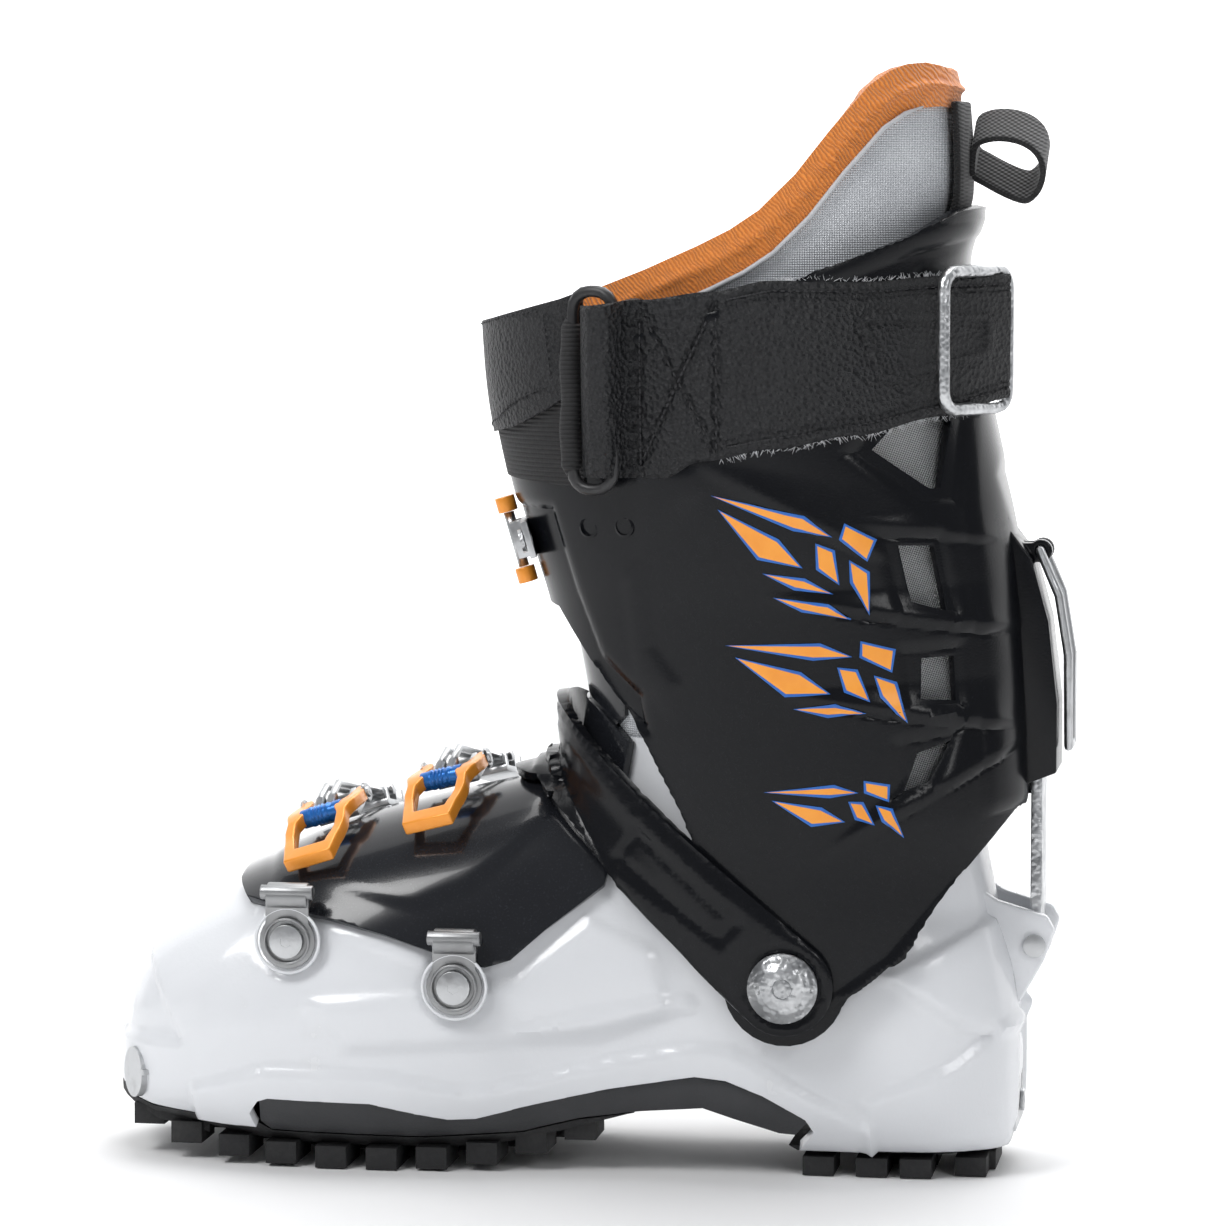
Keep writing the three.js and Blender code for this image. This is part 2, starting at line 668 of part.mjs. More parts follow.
// a flat bar of square section through points
const barThrough = (points) => {
  const pieces = [];
  for (let i = 0; i < points.length - 1; i += 1) {
    const cell = (at) => Manifold.cube([3, 4.4, 4.4], true).translate(at);
    pieces.push(Manifold.hull([cell(points[i]), cell(points[i + 1])]));
  }
  return Manifold.union(pieces);
};
const leverFrame = (length, drop) => {
  let body = box(-7.5, 7.5, -length - 2, -length + 2, -drop - 1.8, -drop + 1.8);
  for (const sign of [-1, 1]) {
    const u = sign * (LEVER_HALF - 1.5);
    body = body.add(
      barThrough([
        [u, -1.2, 0],
        [u, -length * 0.43, 3.4],
        [u, -length * 0.78, 1.4 - drop],
        [sign * 7, -length, -drop],
      ]),
    );
  }
  return body.subtract(rod([-20, 0, 0], [20, 0, 0], PIN_R + 0.35, 16));
};
// via: bail points (v, w, u) past the pin; hook: where its cross rod sits; seat: the ladder's frame there
const buckle = (name, frame, { via, hook, tilt, seat, length, drop, rack, cross }) => {
  const base = box(-7.2, 7.2, -4, 4, -5.4, -3.4)
    .add(box(-7.2, -5.4, -3, 3, -5.4, 1.6))
    .add(box(5.4, 7.2, -3, 3, -5.4, 1.6))
    .add(rod([-LEVER_HALF - 1.2, 0, 0], [LEVER_HALF + 1.2, 0, 0], PIN_R, 16));
  add(`${name}_buckle_base`, placed(base, frame), STEEL);
  add(`${name}_lever`, placed(leverFrame(length, drop), frame), ORANGE);
  const capZ = 2.4;
  const cap = rod([-7.2, CAP_AT, capZ], [7.2, CAP_AT, capZ], 3.1, 18).subtract(
    box(-4.2, 4.2, CAP_AT - 1.7, CAP_AT + 5, capZ - 1.8, capZ + 5),
  );
  add(`${name}_adjuster_cap`, placed(cap, frame), BLUE);
  const line = [[CAP_AT, capZ], [-3, 4.6], [3, 4.6], ...via, hook];
  const loop = [
    ...line.map(([v, w, u = 0]) => [u - 2.2, v, w]),
    ...[...line].reverse().map(([v, w, u = 0]) => [u + 2.2, v, w]),
  ];
  const place =
    seat ??
    frame
      .clone()
      .multiply(new THREE.Matrix4().makeTranslation(0, hook[0], hook[1]))
      .multiply(new THREE.Matrix4().makeRotationX(tilt));
  const bar = rod([-cross, 0, 0], [cross, 0, 0], 1.7, 14);
  add(`${name}_bail`, placed(wire(loop, 1.25), frame).add(placed(bar, place)), STEEL);
  let plate = box(-6, 6, -5, rack - 5, -5.4, -3.4);
  for (const at of [-4.2, 2.4, 7.4]) {
    if (at + 15.8 < rack) {
      plate = plate.add(box(-6, 6, at, at + 1.4, -4, 0.6));
    }
  }
  const rivetAt = rack - 10;
  plate = plate
    .subtract(box(-4.5, 4.5, -6, 0.6, -3.3, 3))
    .subtract(rod([0, rivetAt, -8], [0, rivetAt, 0], 2.3));
  add(`${name}_ladder`, placed(plate, place), STEEL);
  const head = rod([0, rivetAt, -3], [0, rivetAt, -1.6], 3.8, 20).add(
    rod([0, rivetAt, -5.6], [0, rivetAt, -2.5], 1.9, 16),
  );
  add(`${name}_ladder_rivet`, placed(head, place), STEEL);
};
const tongueBuckle = {
  via: [], hook: [30, -14], tilt: -0.6, length: 37, drop: 1, rack: 24, cross: 6.5,
};
const toeFrame = frameOf([-185.4, -6, 113.5], [0.05, 0.93, 0.36], [-0.35, -0.3, 0.9]);
const instepFrame = frameOf([-145.5, -6, 126], [0.08, 0.93, 0.36], [-0.3, -0.3, 0.9]);
buckle("toe", toeFrame, tongueBuckle);
buckle("instep", instepFrame, tongueBuckle);

// ankle buckle, on the wearer's right: lever on the anchor arm, ladder on the strap's end
const anchorBand = [
  ...circle(PIVOT_X, PIVOT_Z, 15.4, -132, 48, 14), [-60, 107], [-77, 121], [-88, 107], [-78.8, 86.3],
];
add(
  "ankle_anchor",
  strapOuter
    .subtract(strapInner)
    .intersect(side(anchorBand, 0, 90))
    .subtract(drum(PIVOT_X, PIVOT_Z, 5.2, 0, 90)),
  BLACK,
);
const ankleFrame = frameOf([-66.5, 58.4, 94.8], [-0.74, -0.08, 0.672], [0, 1, 0]);
buckle("ankle", ankleFrame, {
  via: [], hook: [34, -7.6], tilt: -0.26, length: 29, drop: 0, rack: 22, cross: 6.5,
});

// cuff buckle: the lever is on the right, its upright cross rod hooks on the left ladder
const cuffFront = (y, z, grow = 0) => {
  const row = rowAt(CUFF, z);
  const reach = (row[2] - row[1]) / 2 + grow;
  const t = Math.min(Math.abs(y) / (row[3] + grow), 1);
  return (row[1] + row[2]) / 2 - reach * (1 - t ** 2.35) ** (1 / 2.35);
};
const cuffSeat = (y, z, rise) => {
  const along = new THREE.Vector3(cuffFront(y - 3, z) - cuffFront(y + 3, z), -6, 0).normalize();
  const up = new THREE.Vector3(cuffFront(y, z + 4) - cuffFront(y, z - 4), 0, 8).normalize();
  const out = new THREE.Vector3().crossVectors(along, up).normalize();
  out.multiplyScalar(Math.sign(-out.x));
  const at = new THREE.Vector3(cuffFront(y, z), y, z).addScaledVector(out, rise);
  return frameOf(at.toArray(), along.toArray(), out.toArray());
};
const cuffFrame = cuffSeat(30, 202, 6);
const toCuff = cuffFrame.clone().invert();
const cuffPoint = (y, rise) => {
  const at = new THREE.Vector3().setFromMatrixPosition(cuffSeat(y, 202, rise));
  at.applyMatrix4(toCuff);
  return [at.y, at.z, at.x];
};
const hookSeat = cuffSeat(-11, 202, 6);
buckle("cuff", cuffFrame, {
  via: [cuffPoint(16, 6), cuffPoint(4, 6)],
  hook: cuffPoint(-11, 6),
  seat: hookSeat,
  length: 34,
  drop: 6,
  rack: 27,
  cross: 9,
});
for (const [name, sign] of [["upper", -1], ["lower", 1]]) {
  const cap = rod([sign * 9.3, 0, 0], [sign * 14.2, 0, 0], 3.2, 18);
  add(`cuff_bail_cap_${name}`, placed(cap, hookSeat), ORANGE);
}

// ---- power strap ----
const bandOuter = legBody(CUFF, 1 + STRAP_THICK, 200, 310);
const bandInner = legBody(CUFF, 1, 199, 311);
const band = bandOuter.subtract(bandInner);
const LEFT_TOP = [[-83, 278.5], [-60, 281], [-10, 285], [12, 286.5]];
const LEFT_LOW = [[12, 241], [-10, 236], [-52, 230], [-83, 223]];
add("power_strap_left", band.intersect(side([...LEFT_TOP, ...LEFT_LOW], -90, -20)), STRAP);
add(
  "power_strap_front",
  band.intersect(side([[-150, 262], [-99.5, 281], [-99.5, 219.5], [-150, 224]])),
  WEB,
);
add(
  "power_strap_right",
  band.intersect(
    side(
      [
        [-98.8, 279], [-60, 281], [-10, 285], [40, 286.5],
        [40, 243], [-10, 236], [-52, 230], [-98.8, 221],
      ],
      -7,
      90
    )
      .subtract(box(-200, 10, -10, 10, 200, 300)),
  ),
  STRAP,
);
// a rounded wire ring standing on the cuff between two plan points
const strapRing = (name, from, to, z0, z1, r, corner, look) => {
  const width = Math.hypot(to[0] - from[0], to[1] - from[1]);
  const outline = [];
  for (const [cx, cz, start] of [
    [width - corner, z1 - corner, 0],
    [corner, z1 - corner, 90],
    [corner, z0 + corner, 180],
    [width - corner, z0 + corner, 270],
  ]) {
    outline.push(...circle(cx, cz, corner, start, start + 90, 5));
  }
  const points = outline.map(([s, z]) => [
    from[0] + ((to[0] - from[0]) * s) / width,
    from[1] + ((to[1] - from[1]) * s) / width,
    z,
  ]);
  add(name, wire(points, r, true), look);
};
strapRing("strap_ring_rear", [15.5, -42.5], [33, -12], 244, 287, 2, 6, ZINC);
strapRing("strap_ring_front", [-98.4, -58.3], [-85, -62.8], 219.5, 281, 1.9, 6, BLACK);

// ---- liner back ----
add(
  "liner_spine",
  legBody(CUFF, -2.2, 300, 340)
    .subtract(legBody(CUFF, -5, 299, 341))
    .intersect(box(-5, 60, -19, 19, 309, 333)),
  WEB,
);
const LOOP_OUTER = [
  [20.4, 332.5], [30, 334.5], [40, 331.5], [45, 324], [43.5, 315], [37, 311.5], [27, 316], [20.4, 320],
];
const LOOP_INNER = [
  [22.4, 330.2], [30, 332], [38.8, 329.3], [42.6, 323.4], [41.4, 316.4], [37, 314], [28, 318.3],
  [22.4, 321.4],
];
add("pull_loop", side(LOOP_OUTER, -9.5, 9.5).subtract(side(LOOP_INNER, -20, 20)), WEB);

// ---- rear lean mechanism ----
const barBody = box(
  BAR_X - BAR_THICK / 2, BAR_X + BAR_THICK / 2, -BAR_WIDTH / 2, BAR_WIDTH / 2,
  BAR_Z, BAR_Z + BAR_LENGTH,
)
  .add(drum(BAR_X, BAR_Z, 4.4, -BAR_WIDTH / 2, BAR_WIDTH / 2, 24))
  .subtract(drum(BAR_X, BAR_Z, BAR_PIN_R + 0.06, -30, 30, 20))
  .subtract(box(BAR_X - 5, BAR_X + 5, -3, 3, 130, 146));
add("lean_bar", barBody, ZINC);
add("lean_bar_pin", drum(BAR_X, BAR_Z, BAR_PIN_R, -14.4, 14.4, 20)
  .add(drum(BAR_X, BAR_Z, 3.6, -17, -15.3, 20))
  .add(drum(BAR_X, BAR_Z, BAR_PIN_R, -15.5, -14, 20)), STEEL);
const housingHalf = BAR_WIDTH / 2 + 3.4;
const housing = side([
  [39.4, 124], [49.4, 128], [49.4, 150], [46.5, 176], [41, 196], [34.2, 205], [33.4, 200],
  [35.6, 180], [37.6, 150],
], -housingHalf, housingHalf)
  .subtract(side([
    [36, 120], [BAR_X + BAR_THICK / 2 + BAR_PLAY - 0.6, 120], [BAR_X + BAR_THICK / 2 + BAR_PLAY - 0.6, 150],
    [BAR_X + 2.6, 172], [BAR_X - 2, 184], [30, 184],
  ], -BAR_WIDTH / 2 - 0.8, BAR_WIDTH / 2 + 0.8))
  .subtract(legBody(CUFF, 0.3, 100, 230));
const MODE_X = 43.5;
const MODE_Z = 198;
const bailY = 8.5;
const bearing = (y0, y1) =>
  drum(MODE_X, MODE_Z, 3.6, y0, y1, 20)
    .add(box(36.5, MODE_X, y0, y1, MODE_Z - 3.6, MODE_Z + 2.5))
    .subtract(drum(MODE_X, MODE_Z, 1.62, y0 - 1, y1 + 1, 20))
    .subtract(legBody(CUFF, 0.3, 100, 230));
add("walk_housing", housing.add(bearing(-6.5, -2)).add(bearing(2, 6.5)), BLACK);
const modeWire = wire(
  [
    [MODE_X, -bailY, MODE_Z], [49.5, -bailY, 184], [52.6, -bailY, 165], [52.8, -bailY + 2, 136],
    [52.8, bailY - 2, 136], [52.6, bailY, 165], [49.5, bailY, 184], [MODE_X, bailY, MODE_Z],
  ],
  1.5,
  true,
);
add("mode_lever", modeWire, STEEL);

export default group;
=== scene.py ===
import math
import random

import bmesh
import bpy
from mathutils import Matrix, Vector, noise
from mathutils.bvhtree import BVHTree


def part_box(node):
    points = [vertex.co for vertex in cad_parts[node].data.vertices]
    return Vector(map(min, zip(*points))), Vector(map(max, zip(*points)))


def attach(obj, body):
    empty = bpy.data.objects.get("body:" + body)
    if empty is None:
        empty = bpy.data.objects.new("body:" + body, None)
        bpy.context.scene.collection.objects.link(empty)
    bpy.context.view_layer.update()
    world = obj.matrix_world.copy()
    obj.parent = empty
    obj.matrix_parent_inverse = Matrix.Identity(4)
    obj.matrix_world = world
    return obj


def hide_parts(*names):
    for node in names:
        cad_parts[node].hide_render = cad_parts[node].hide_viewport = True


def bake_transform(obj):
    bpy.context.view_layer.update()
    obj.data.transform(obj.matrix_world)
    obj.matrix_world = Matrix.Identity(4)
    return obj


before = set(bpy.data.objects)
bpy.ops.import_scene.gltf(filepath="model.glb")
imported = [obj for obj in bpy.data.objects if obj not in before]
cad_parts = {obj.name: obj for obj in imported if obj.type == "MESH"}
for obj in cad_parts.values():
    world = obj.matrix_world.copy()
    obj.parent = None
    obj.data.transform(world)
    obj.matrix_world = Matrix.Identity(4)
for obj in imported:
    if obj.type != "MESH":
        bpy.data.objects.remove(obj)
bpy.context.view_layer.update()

# ---------------------------------------------------------------- studio
# Pale floor and white backdrop, a large soft key at the toe, a fill in front, one
# lamp overhead and one behind, and a long-lens camera a little behind square.
scene = bpy.context.scene
scene.view_settings.view_transform = "Standard"
MM = 0.001
CAMERA_AZIMUTH = math.radians(9)
CAMERA_RISE = math.radians(5)
CAMERA_RANGE = 1.6
AIM = Vector((-0.095, 0, 0.1758))
back = Vector((
    math.sin(CAMERA_AZIMUTH) * math.cos(CAMERA_RISE),
    -math.cos(CAMERA_AZIMUTH) * math.cos(CAMERA_RISE),
    math.sin(CAMERA_RISE),
))
lens = bpy.data.cameras.new("camera")
lens.lens = 145.3
camera = bpy.data.objects.new("camera", lens)
camera.location = AIM + back * CAMERA_RANGE
camera.rotation_euler = (-back).to_track_quat("-Z", "Y").to_euler()
scene.collection.objects.link(camera)
scene.camera = camera

sky = bpy.data.worlds.new("studio")
scene.world = sky
sky.use_nodes = True
sky.node_tree.nodes["Background"].inputs["Color"].default_value = (0.93, 0.95, 1, 1)
sky.node_tree.nodes["Background"].inputs["Strength"].default_value = 0.26
for name, spot, size, power in (
    ("key", (-0.8, -0.9, 1.3), 0.6, 13),
    ("fill", (0.9, -1.3, 0.9), 0.5, 4),
    ("top", (-0.1, 0.2, 1.5), 0.8, 8),
    ("rim", (0.3, 1.1, 1.4), 0.9, 8),
):
    lamp = bpy.data.lights.new(name, "AREA")
    lamp.energy = power
    lamp.size = size
    holder = bpy.data.objects.new(name, lamp)
    holder.location = spot
    holder.rotation_euler = (AIM - Vector(spot)).to_track_quat("-Z", "Y").to_euler()
    scene.collection.objects.link(holder)


class Value:
    """A socket that can be worked with: + - and * add Math nodes."""

    def __init__(self, tree, socket):
        self.tree = tree
        self.socket = socket

    def math(self, operation, *others):
        return self.node("ShaderNodeMath", {"operation": operation}, self, *others)

    def node(self, kind, settings=None, *inputs, out=0, **named):
        made = self.tree.nodes.new(kind)
        for key, value in (settings or {}).items():
            setattr(made, key, value)
        pairs = [*zip(made.inputs, inputs), *((made.inputs[k], v) for k, v in named.items())]
        for socket, value in pairs:
            if isinstance(value, Value):
                self.tree.links.new(value.socket, socket)
            elif value is not None:
                socket.default_value = value
        return Value(self.tree, made.outputs[out])

    def __add__(self, other):
        return self.math("ADD", other)

    def __sub__(self, other):
        return self.math("SUBTRACT", other)

    def __mul__(self, other):
        return self.math("MULTIPLY", other)

    def __rsub__(self, other):
        return self.node("ShaderNodeMath", {"operation": "SUBTRACT"}, other, self)

    __radd__ = __add__
    __rmul__ = __mul__

    def mix_colour(self, low, high):
        """From colour low at 0 to colour high at 1."""
        made = self.tree.nodes.new("ShaderNodeMix")
        made.data_type = "RGBA"
        self.tree.links.new(self.socket, made.inputs[0])
        for socket, value in ((made.inputs[6], low), (made.inputs[7], high)):
            if isinstance(value, Value):
                self.tree.links.new(value.socket, socket)
            else:
                socket.default_value = (*value, 1)
        return Value(self.tree, made.outputs[2])

    def noise(self, scale, detail=3, rough=0.5):
        return self.node(
            "ShaderNodeTexNoise", None, Vector=self, Scale=scale, Detail=detail, Roughness=rough
        )

    def part(self, axis):
        return self.node("ShaderNodeSeparateXYZ", None, self, out=axis)

    def step(self, low, high):
        return self.node(
            "ShaderNodeMapRange", {"interpolation_type": "SMOOTHSTEP"}, self, low, high, 0.0, 1.0
        )


def finish_of(name, look, **fixed):
    """A Principled finish. fixed sets plain sockets; look(place) returns what varies."""
    made = bpy.data.materials.new(name)
    made.use_nodes = True
    tree = made.node_tree
    shader = tree.nodes["Principled BSDF"]
    for key, value in fixed.items():
        socket = shader.inputs[key.replace("_", " ")]
        socket.default_value = (*value, 1) if isinstance(value, tuple) else value
    coords = tree.nodes.new("ShaderNodeTexCoord")
    place = Value(tree, coords.outputs["Object"])
    for key, value in look(place).items():
        if key == "Bump":
            height, depth = value
            value = place.node(
                "ShaderNodeBump", None, Strength=1.0, Distance=depth, Height=height
            )
            key = "Normal"
        tree.links.new(value.socket, shader.inputs[key.replace("_", " ")])
    return made


def wear(place, colour, other, scale=60, amount=0.5):
    return (place.noise(scale, 4).step(0.35, 0.75) * amount).mix_colour(colour, other)


floor_mesh = bmesh.new()
bmesh.ops.create_grid(floor_mesh, x_segments=2, y_segments=2, size=6)
floor_data = bpy.data.meshes.new("floor")
floor_mesh.to_mesh(floor_data)
floor = bpy.data.objects.new("floor", floor_data)
floor.location.z = -0.0003
scene.collection.objects.link(floor)
floor_data.materials.append(finish_of(
    "floor_paper",
    lambda place: {"Base_Color": wear(place, (0.9, 0.9, 0.9), (0.86, 0.86, 0.865), 3)},
    Roughness=0.8,
))

drape_mesh = bmesh.new()
bmesh.ops.create_grid(drape_mesh, x_segments=2, y_segments=2, size=5)
bmesh.ops.rotate(drape_mesh, verts=drape_mesh.verts, cent=(0, 0, 0),
                 matrix=Matrix.Rotation(math.radians(90), 3, "X"))
bmesh.ops.translate(drape_mesh, verts=drape_mesh.verts, vec=(0, 1.75, 4.99))
drape_data = bpy.data.meshes.new("backdrop")
drape_mesh.to_mesh(drape_data)
drape = bpy.data.objects.new("backdrop", drape_data)
scene.collection.objects.link(drape)
drape_data.materials.append(finish_of(
    "backdrop_paper",
    lambda place: {"Emission_Color": wear(place, (1, 1, 1), (0.98, 0.98, 0.985), 1)},
    Roughness=1.0, Emission_Strength=0.95,
))

# ---------------------------------------------------------------- lower shell
# The clog of the boot: glossy white polyamide, injection moulded in one shot,
# open over the instep, with ledges fore and aft and a fork for the lean bar.
FOOT = [  # station x, low z, widest z, high z, half width
    (-254.5, 24, 36, 50, 15), (-252, 16, 36, 60, 26), (-247.5, 13, 37, 67, 34),
    (-240, 11, 38, 74, 41), (-225, 9, 40, 83, 47), (-205, 5, 42, 92, 51),
    (-180, 3.5, 43, 103, 53), (-155, 3.5, 44, 110, 52.5), (-130, 3.5, 46, 116, 49),
    (-110, 4, 48, 120, 45), (-85, 4, 50, 118, 42.5), (-60, 4, 52, 112, 42),
    (-30, 5, 52, 108, 43), (0, 5, 50, 104, 43), (15, 5, 48, 98, 40), (27, 6, 44, 88, 33),
    (34, 8, 40, 70, 25), (37, 16, 36, 56, 15),
]
ANKLE = [  # station z, front x, rear x, half width
    (50, -112, 35.5, 42), (60, -112, 34.5, 43), (80, -111, 31, 43.2), (100, -108, 27, 43),
    (120, -104, 22, 41.5), (140, -100, 15, 39.5), (165, -97, 8, 38),
]
PIVOT = (-32.5, 63.9)


def row_at(table, station):
    """A table's row at a station, smooth between its rows."""
    i = 0
    while i < len(table) - 2 and table[i + 1][0] < station:
        i += 1
    a, b, c, d = table[max(i - 1, 0)], table[i], table[i + 1], table[min(i + 2, len(table) - 1)]
    span = c[0] - b[0]
    t = min(max((station - b[0]) / span, 0), 1)
    out = []
    for k in range(len(b)):
        left = (c[k] - a[k]) / (c[0] - a[0]) * span
        right = (d[k] - b[k]) / (d[0] - b[0]) * span
        out.append(
            (2 * t**3 - 3 * t**2 + 1) * b[k] + (t**3 - 2 * t**2 + t) * left
            + (3 * t**2 - 2 * t**3) * c[k] + (t**3 - t**2) * right
        )
    return out


def bent(value, power):
    return math.copysign(abs(value) ** (2 / power), value)


def foot_point(turn, x, grow=0.0):
    _, low, mid, high, half = row_at(FOOT, x)
    s, c = math.sin(turn), math.cos(turn)
    power = 2.3 if s > 0 else 3.4
    rise = high + grow - mid if s > 0 else mid - low + grow
    return Vector((x, (half + grow) * bent(c, power), mid + rise * bent(s, power)))


def leg_point(table, turn, z, grow=0.0):
    _, front, rear, half = row_at(table, z)
    reach = (rear - front) / 2 + grow
    return Vector((
        (front + rear) / 2 + reach * bent(math.cos(turn), 2.35),
        (half + grow) * bent(math.sin(turn), 2.35),
        z,
    ))


def wrapped(around, along, place, caps=True):
    """A bmesh sleeve: place(turn, t) gives each point in mm, t from 0 to 1 along it."""
    bm = bmesh.new()
    bmesh.ops.create_grid(bm, x_segments=around, y_segments=along, size=1)
    for v in bm.verts:
        turn = math.pi * (v.co.x + 1)
        v.co = place(turn, (v.co.y + 1) / 2) * MM
    bmesh.ops.remove_doubles(bm, verts=bm.verts, dist=1e-6)
    if caps:
        rim = [e for e in bm.edges if e.is_boundary]
        bmesh.ops.holes_fill(bm, edges=rim, sides=0)
    bmesh.ops.recalc_face_normals(bm, faces=bm.faces)
    return bm


def block(outline, low, high, plane="xz"):
    """A slab from an outline in mm, carried from low to high across its plane."""
    bm = bmesh.new()
    lift = (lambda p: (p[0], low, p[1])) if plane == "xz" else (lambda p: (p[0], p[1], low))
    face = bm.faces.new([bm.verts.new(Vector(lift(p)) * MM) for p in outline])
    grown = bmesh.ops.extrude_face_region(bm, geom=[face])
    way = Vector((0, high - low, 0)) if plane == "xz" else Vector((0, 0, high - low))
    moved = [g for g in grown["geom"] if isinstance(g, bmesh.types.BMVert)]
    bmesh.ops.translate(bm, verts=moved, vec=way * MM)
    bmesh.ops.recalc_face_normals(bm, faces=bm.faces)
    return bm


def piece(name, bm, *materials, smooth=True, edge=None):
    """Makes the object; smooth shades it, with edges sharper than edge degrees kept crisp."""
    data = bpy.data.meshes.new(name)
    bm.to_mesh(data)
    bm.free()
    for material in materials:
        data.materials.append(material)
    data.shade_smooth() if smooth else data.shade_flat()
    if edge:
        data.set_sharp_from_angle(angle=math.radians(edge))
    made = bpy.data.objects.new(name, data)
    scene.collection.objects.link(made)
    return made


def settled(made):
    """Applies every modifier of a piece."""
    graph = bpy.context.evaluated_depsgraph_get()
    graph.update()
    data = bpy.data.meshes.new_from_object(made.evaluated_get(graph))
    made.modifiers.clear()
    made.data = data
    return made


def fused(name, parts, voxel, rounds):
    """Joins closed bmeshes into one smooth skin."""
    bm = bmesh.new()
    for part in parts:
        data = bpy.data.meshes.new("part")
        part.to_mesh(data)
        part.free()
        bm.from_mesh(data)
        bpy.data.meshes.remove(data)
    made = piece(name, bm)
    remesh = made.modifiers.new("remesh", "REMESH")
    remesh.mode = "VOXEL"
    remesh.voxel_size = voxel * MM
    settle = made.modifiers.new("settle", "SMOOTH")
    settle.factor = 0.5
    settle.iterations = rounds
    return settled(made)


def to_edge(x, z, outline):
    """Signed distance in mm from a side-view point to an outline, positive inside."""
    best = 1e9
    inside = False
    for (x0, z0), (x1, z1) in zip(outline, outline[1:] + outline[:1]):
        dx, dz = x1 - x0, z1 - z0
        t = min(max(((x - x0) * dx + (z - z0) * dz) / (dx * dx + dz * dz), 0), 1)
        best = min(best, math.hypot(x - x0 - t * dx, z - z0 - t * dz))
        if (z0 > z) != (z1 > z) and x < x0 + (z - z0) * dx / dz:
            inside = not inside
    return best if inside else -best


def eased(value):
    t = min(max(value, 0), 1)
    return t * t * (3 - 2 * t)


def trim(bm, outline, keep=True, side=lambda p: True):
    """Cuts a skin along a side-view outline and drops what is outside it, or inside it."""
    for (x0, z0), (x1, z1) in zip(outline, outline[1:] + outline[:1]):
        low_x, high_x = min(x0, x1) - 4, max(x0, x1) + 4
        low_z, high_z = min(z0, z1) - 4, max(z0, z1) + 4
        near = []
        for f in bm.faces:
            p = f.calc_center_median() / MM
            if low_x < p.x < high_x and low_z < p.z < high_z and side(p):
                near.append(f)
        if near:
            geom = {*near, *(e for f in near for e in f.edges), *(v for f in near for v in f.verts)}
            bmesh.ops.bisect_plane(
                bm, geom=list(geom), dist=1e-6,
                plane_co=Vector((x0, 0, z0)) * MM, plane_no=(z1 - z0, 0, x0 - x1),
            )
    doomed = []
    for f in bm.faces:
        p = f.calc_center_median() / MM
        if side(p) and (to_edge(p.x, p.z, outline) > 0) != keep:
            doomed.append(f)
    bmesh.ops.delete(bm, geom=doomed, context="FACES")


def pressed(bm, features, side=lambda p: True):
    """Moves a skin along its normals: each feature is (outline, height, softness) in mm."""
    bm.normal_update()
    shifts = {}
    for v in bm.verts:
        p = v.co / MM
        if not side(p):
            continue
        total = 0.0
        for outline, height, soft in features:
            total += height * eased(to_edge(p.x, p.z, outline) / soft + 0.5)
        if total:
            shifts[v] = v.normal * total * MM
    for v, shift in shifts.items():
        v.co += shift


def walled(made, thickness, bevel=0.0, offset=-1, segments=2):
    """Gives a skin its wall, inwards, and rounds its cut edges."""
    wall = made.modifiers.new("wall", "SOLIDIFY")
    wall.thickness = thickness * MM
    wall.offset = offset
    if bevel:
        rounding = made.modifiers.new("rounding", "BEVEL")
        rounding.width = bevel * MM
        rounding.segments = segments
        rounding.limit_method = "ANGLE"
        rounding.angle_limit = math.radians(50)
    return made


def arc_plan(centre_x, reach, half, span, count):
    return [
        (centre_x + reach * math.cos(math.radians(a)), half * math.sin(math.radians(a)))
        for a in (-span + 2 * span * i / (count - 1) for i in range(count))
    ]


def shell_white(place):
    grain = place.noise(900, 2)
    scuff = place.noise(35, 5, 0.65).step(0.62, 0.8)
    return {
        "Base_Color": (scuff * 0.35).mix_colour((0.76, 0.775, 0.80), (0.62, 0.62, 0.61)),
        "Roughness": 0.2 + scuff * 0.18 + grain * 0.04,
        "Bump": (grain, 0.00004),
    }


white_shell = finish_of("white_shell", shell_white, Coat_Weight=0.25, Coat_Roughness=0.08)

SOLE_FRONT = -258.6
TOE_REACH = 40
toe_ledge = block(
    [(SOLE_FRONT + TOE_REACH - x, y) for x, y in arc_plan(0, TOE_REACH, 38, 62, 15)][::-1]
    + [(-222, 34), (-222, -34)],
    20, 38.4, "xy",
)
heel_ledge = block(arc_plan(4.5, 34, 33, 70, 15) + [(0, 33), (0, -33)], 29, 40.5, "xy")
heel_stem = block(arc_plan(1, 34.4, 31, 70, 15) + [(0, 31), (0, -31)], 9.8, 34, "xy")
body_parts = [
    wrapped(96, 110, lambda turn, t: foot_point(turn, -254.5 + 291.5 * t)),
    wrapped(96, 60, lambda turn, t: leg_point(ANKLE, turn, 50 + 115 * t)),
]
lasts = fused("last", [b.copy() for b in body_parts], 1.9, 12)
shell_skin = fused("lower_shell_moulding", [*body_parts, toe_ledge, heel_ledge, heel_stem], 1.9, 4)

INSERT_TOP = [
    (-203, 14.6), (-204.5, 19), (-201.5, 23), (-198, 24), (-165, 23.5), (-150, 20.4),
    (-141, 18.8), (-132, 19), (-118, 22.5), (-90, 28.5), (-62, 33), (-52, 32), (-40, 27.5),
    (-27, 20.5), (-24.5, 16.5), (-30, 9.8),
]
bm = bmesh.new()
bm.from_mesh(shell_skin.data)
shell_outline = (
    [(-270, 30), (-258.5, 22), (-240, 17.5), (-215, 15)] + INSERT_TOP
    + [(60, 9.8), (60, 200), (-270, 200)]
)
trim(bm, shell_outline)
trim(bm, [(-205, 84), (-150, 84), (-122, 88), (-101, 104), (-90, 120), (-84, 170), (-205, 170)],
     keep=False, side=lambda p: abs(p.y) < 36)
trim(bm, [(-300, -10), (90, -10), (90, 122), (20, 122), (-10, 140), (-45, 150), (-80, 139),
          (-300, 139)])
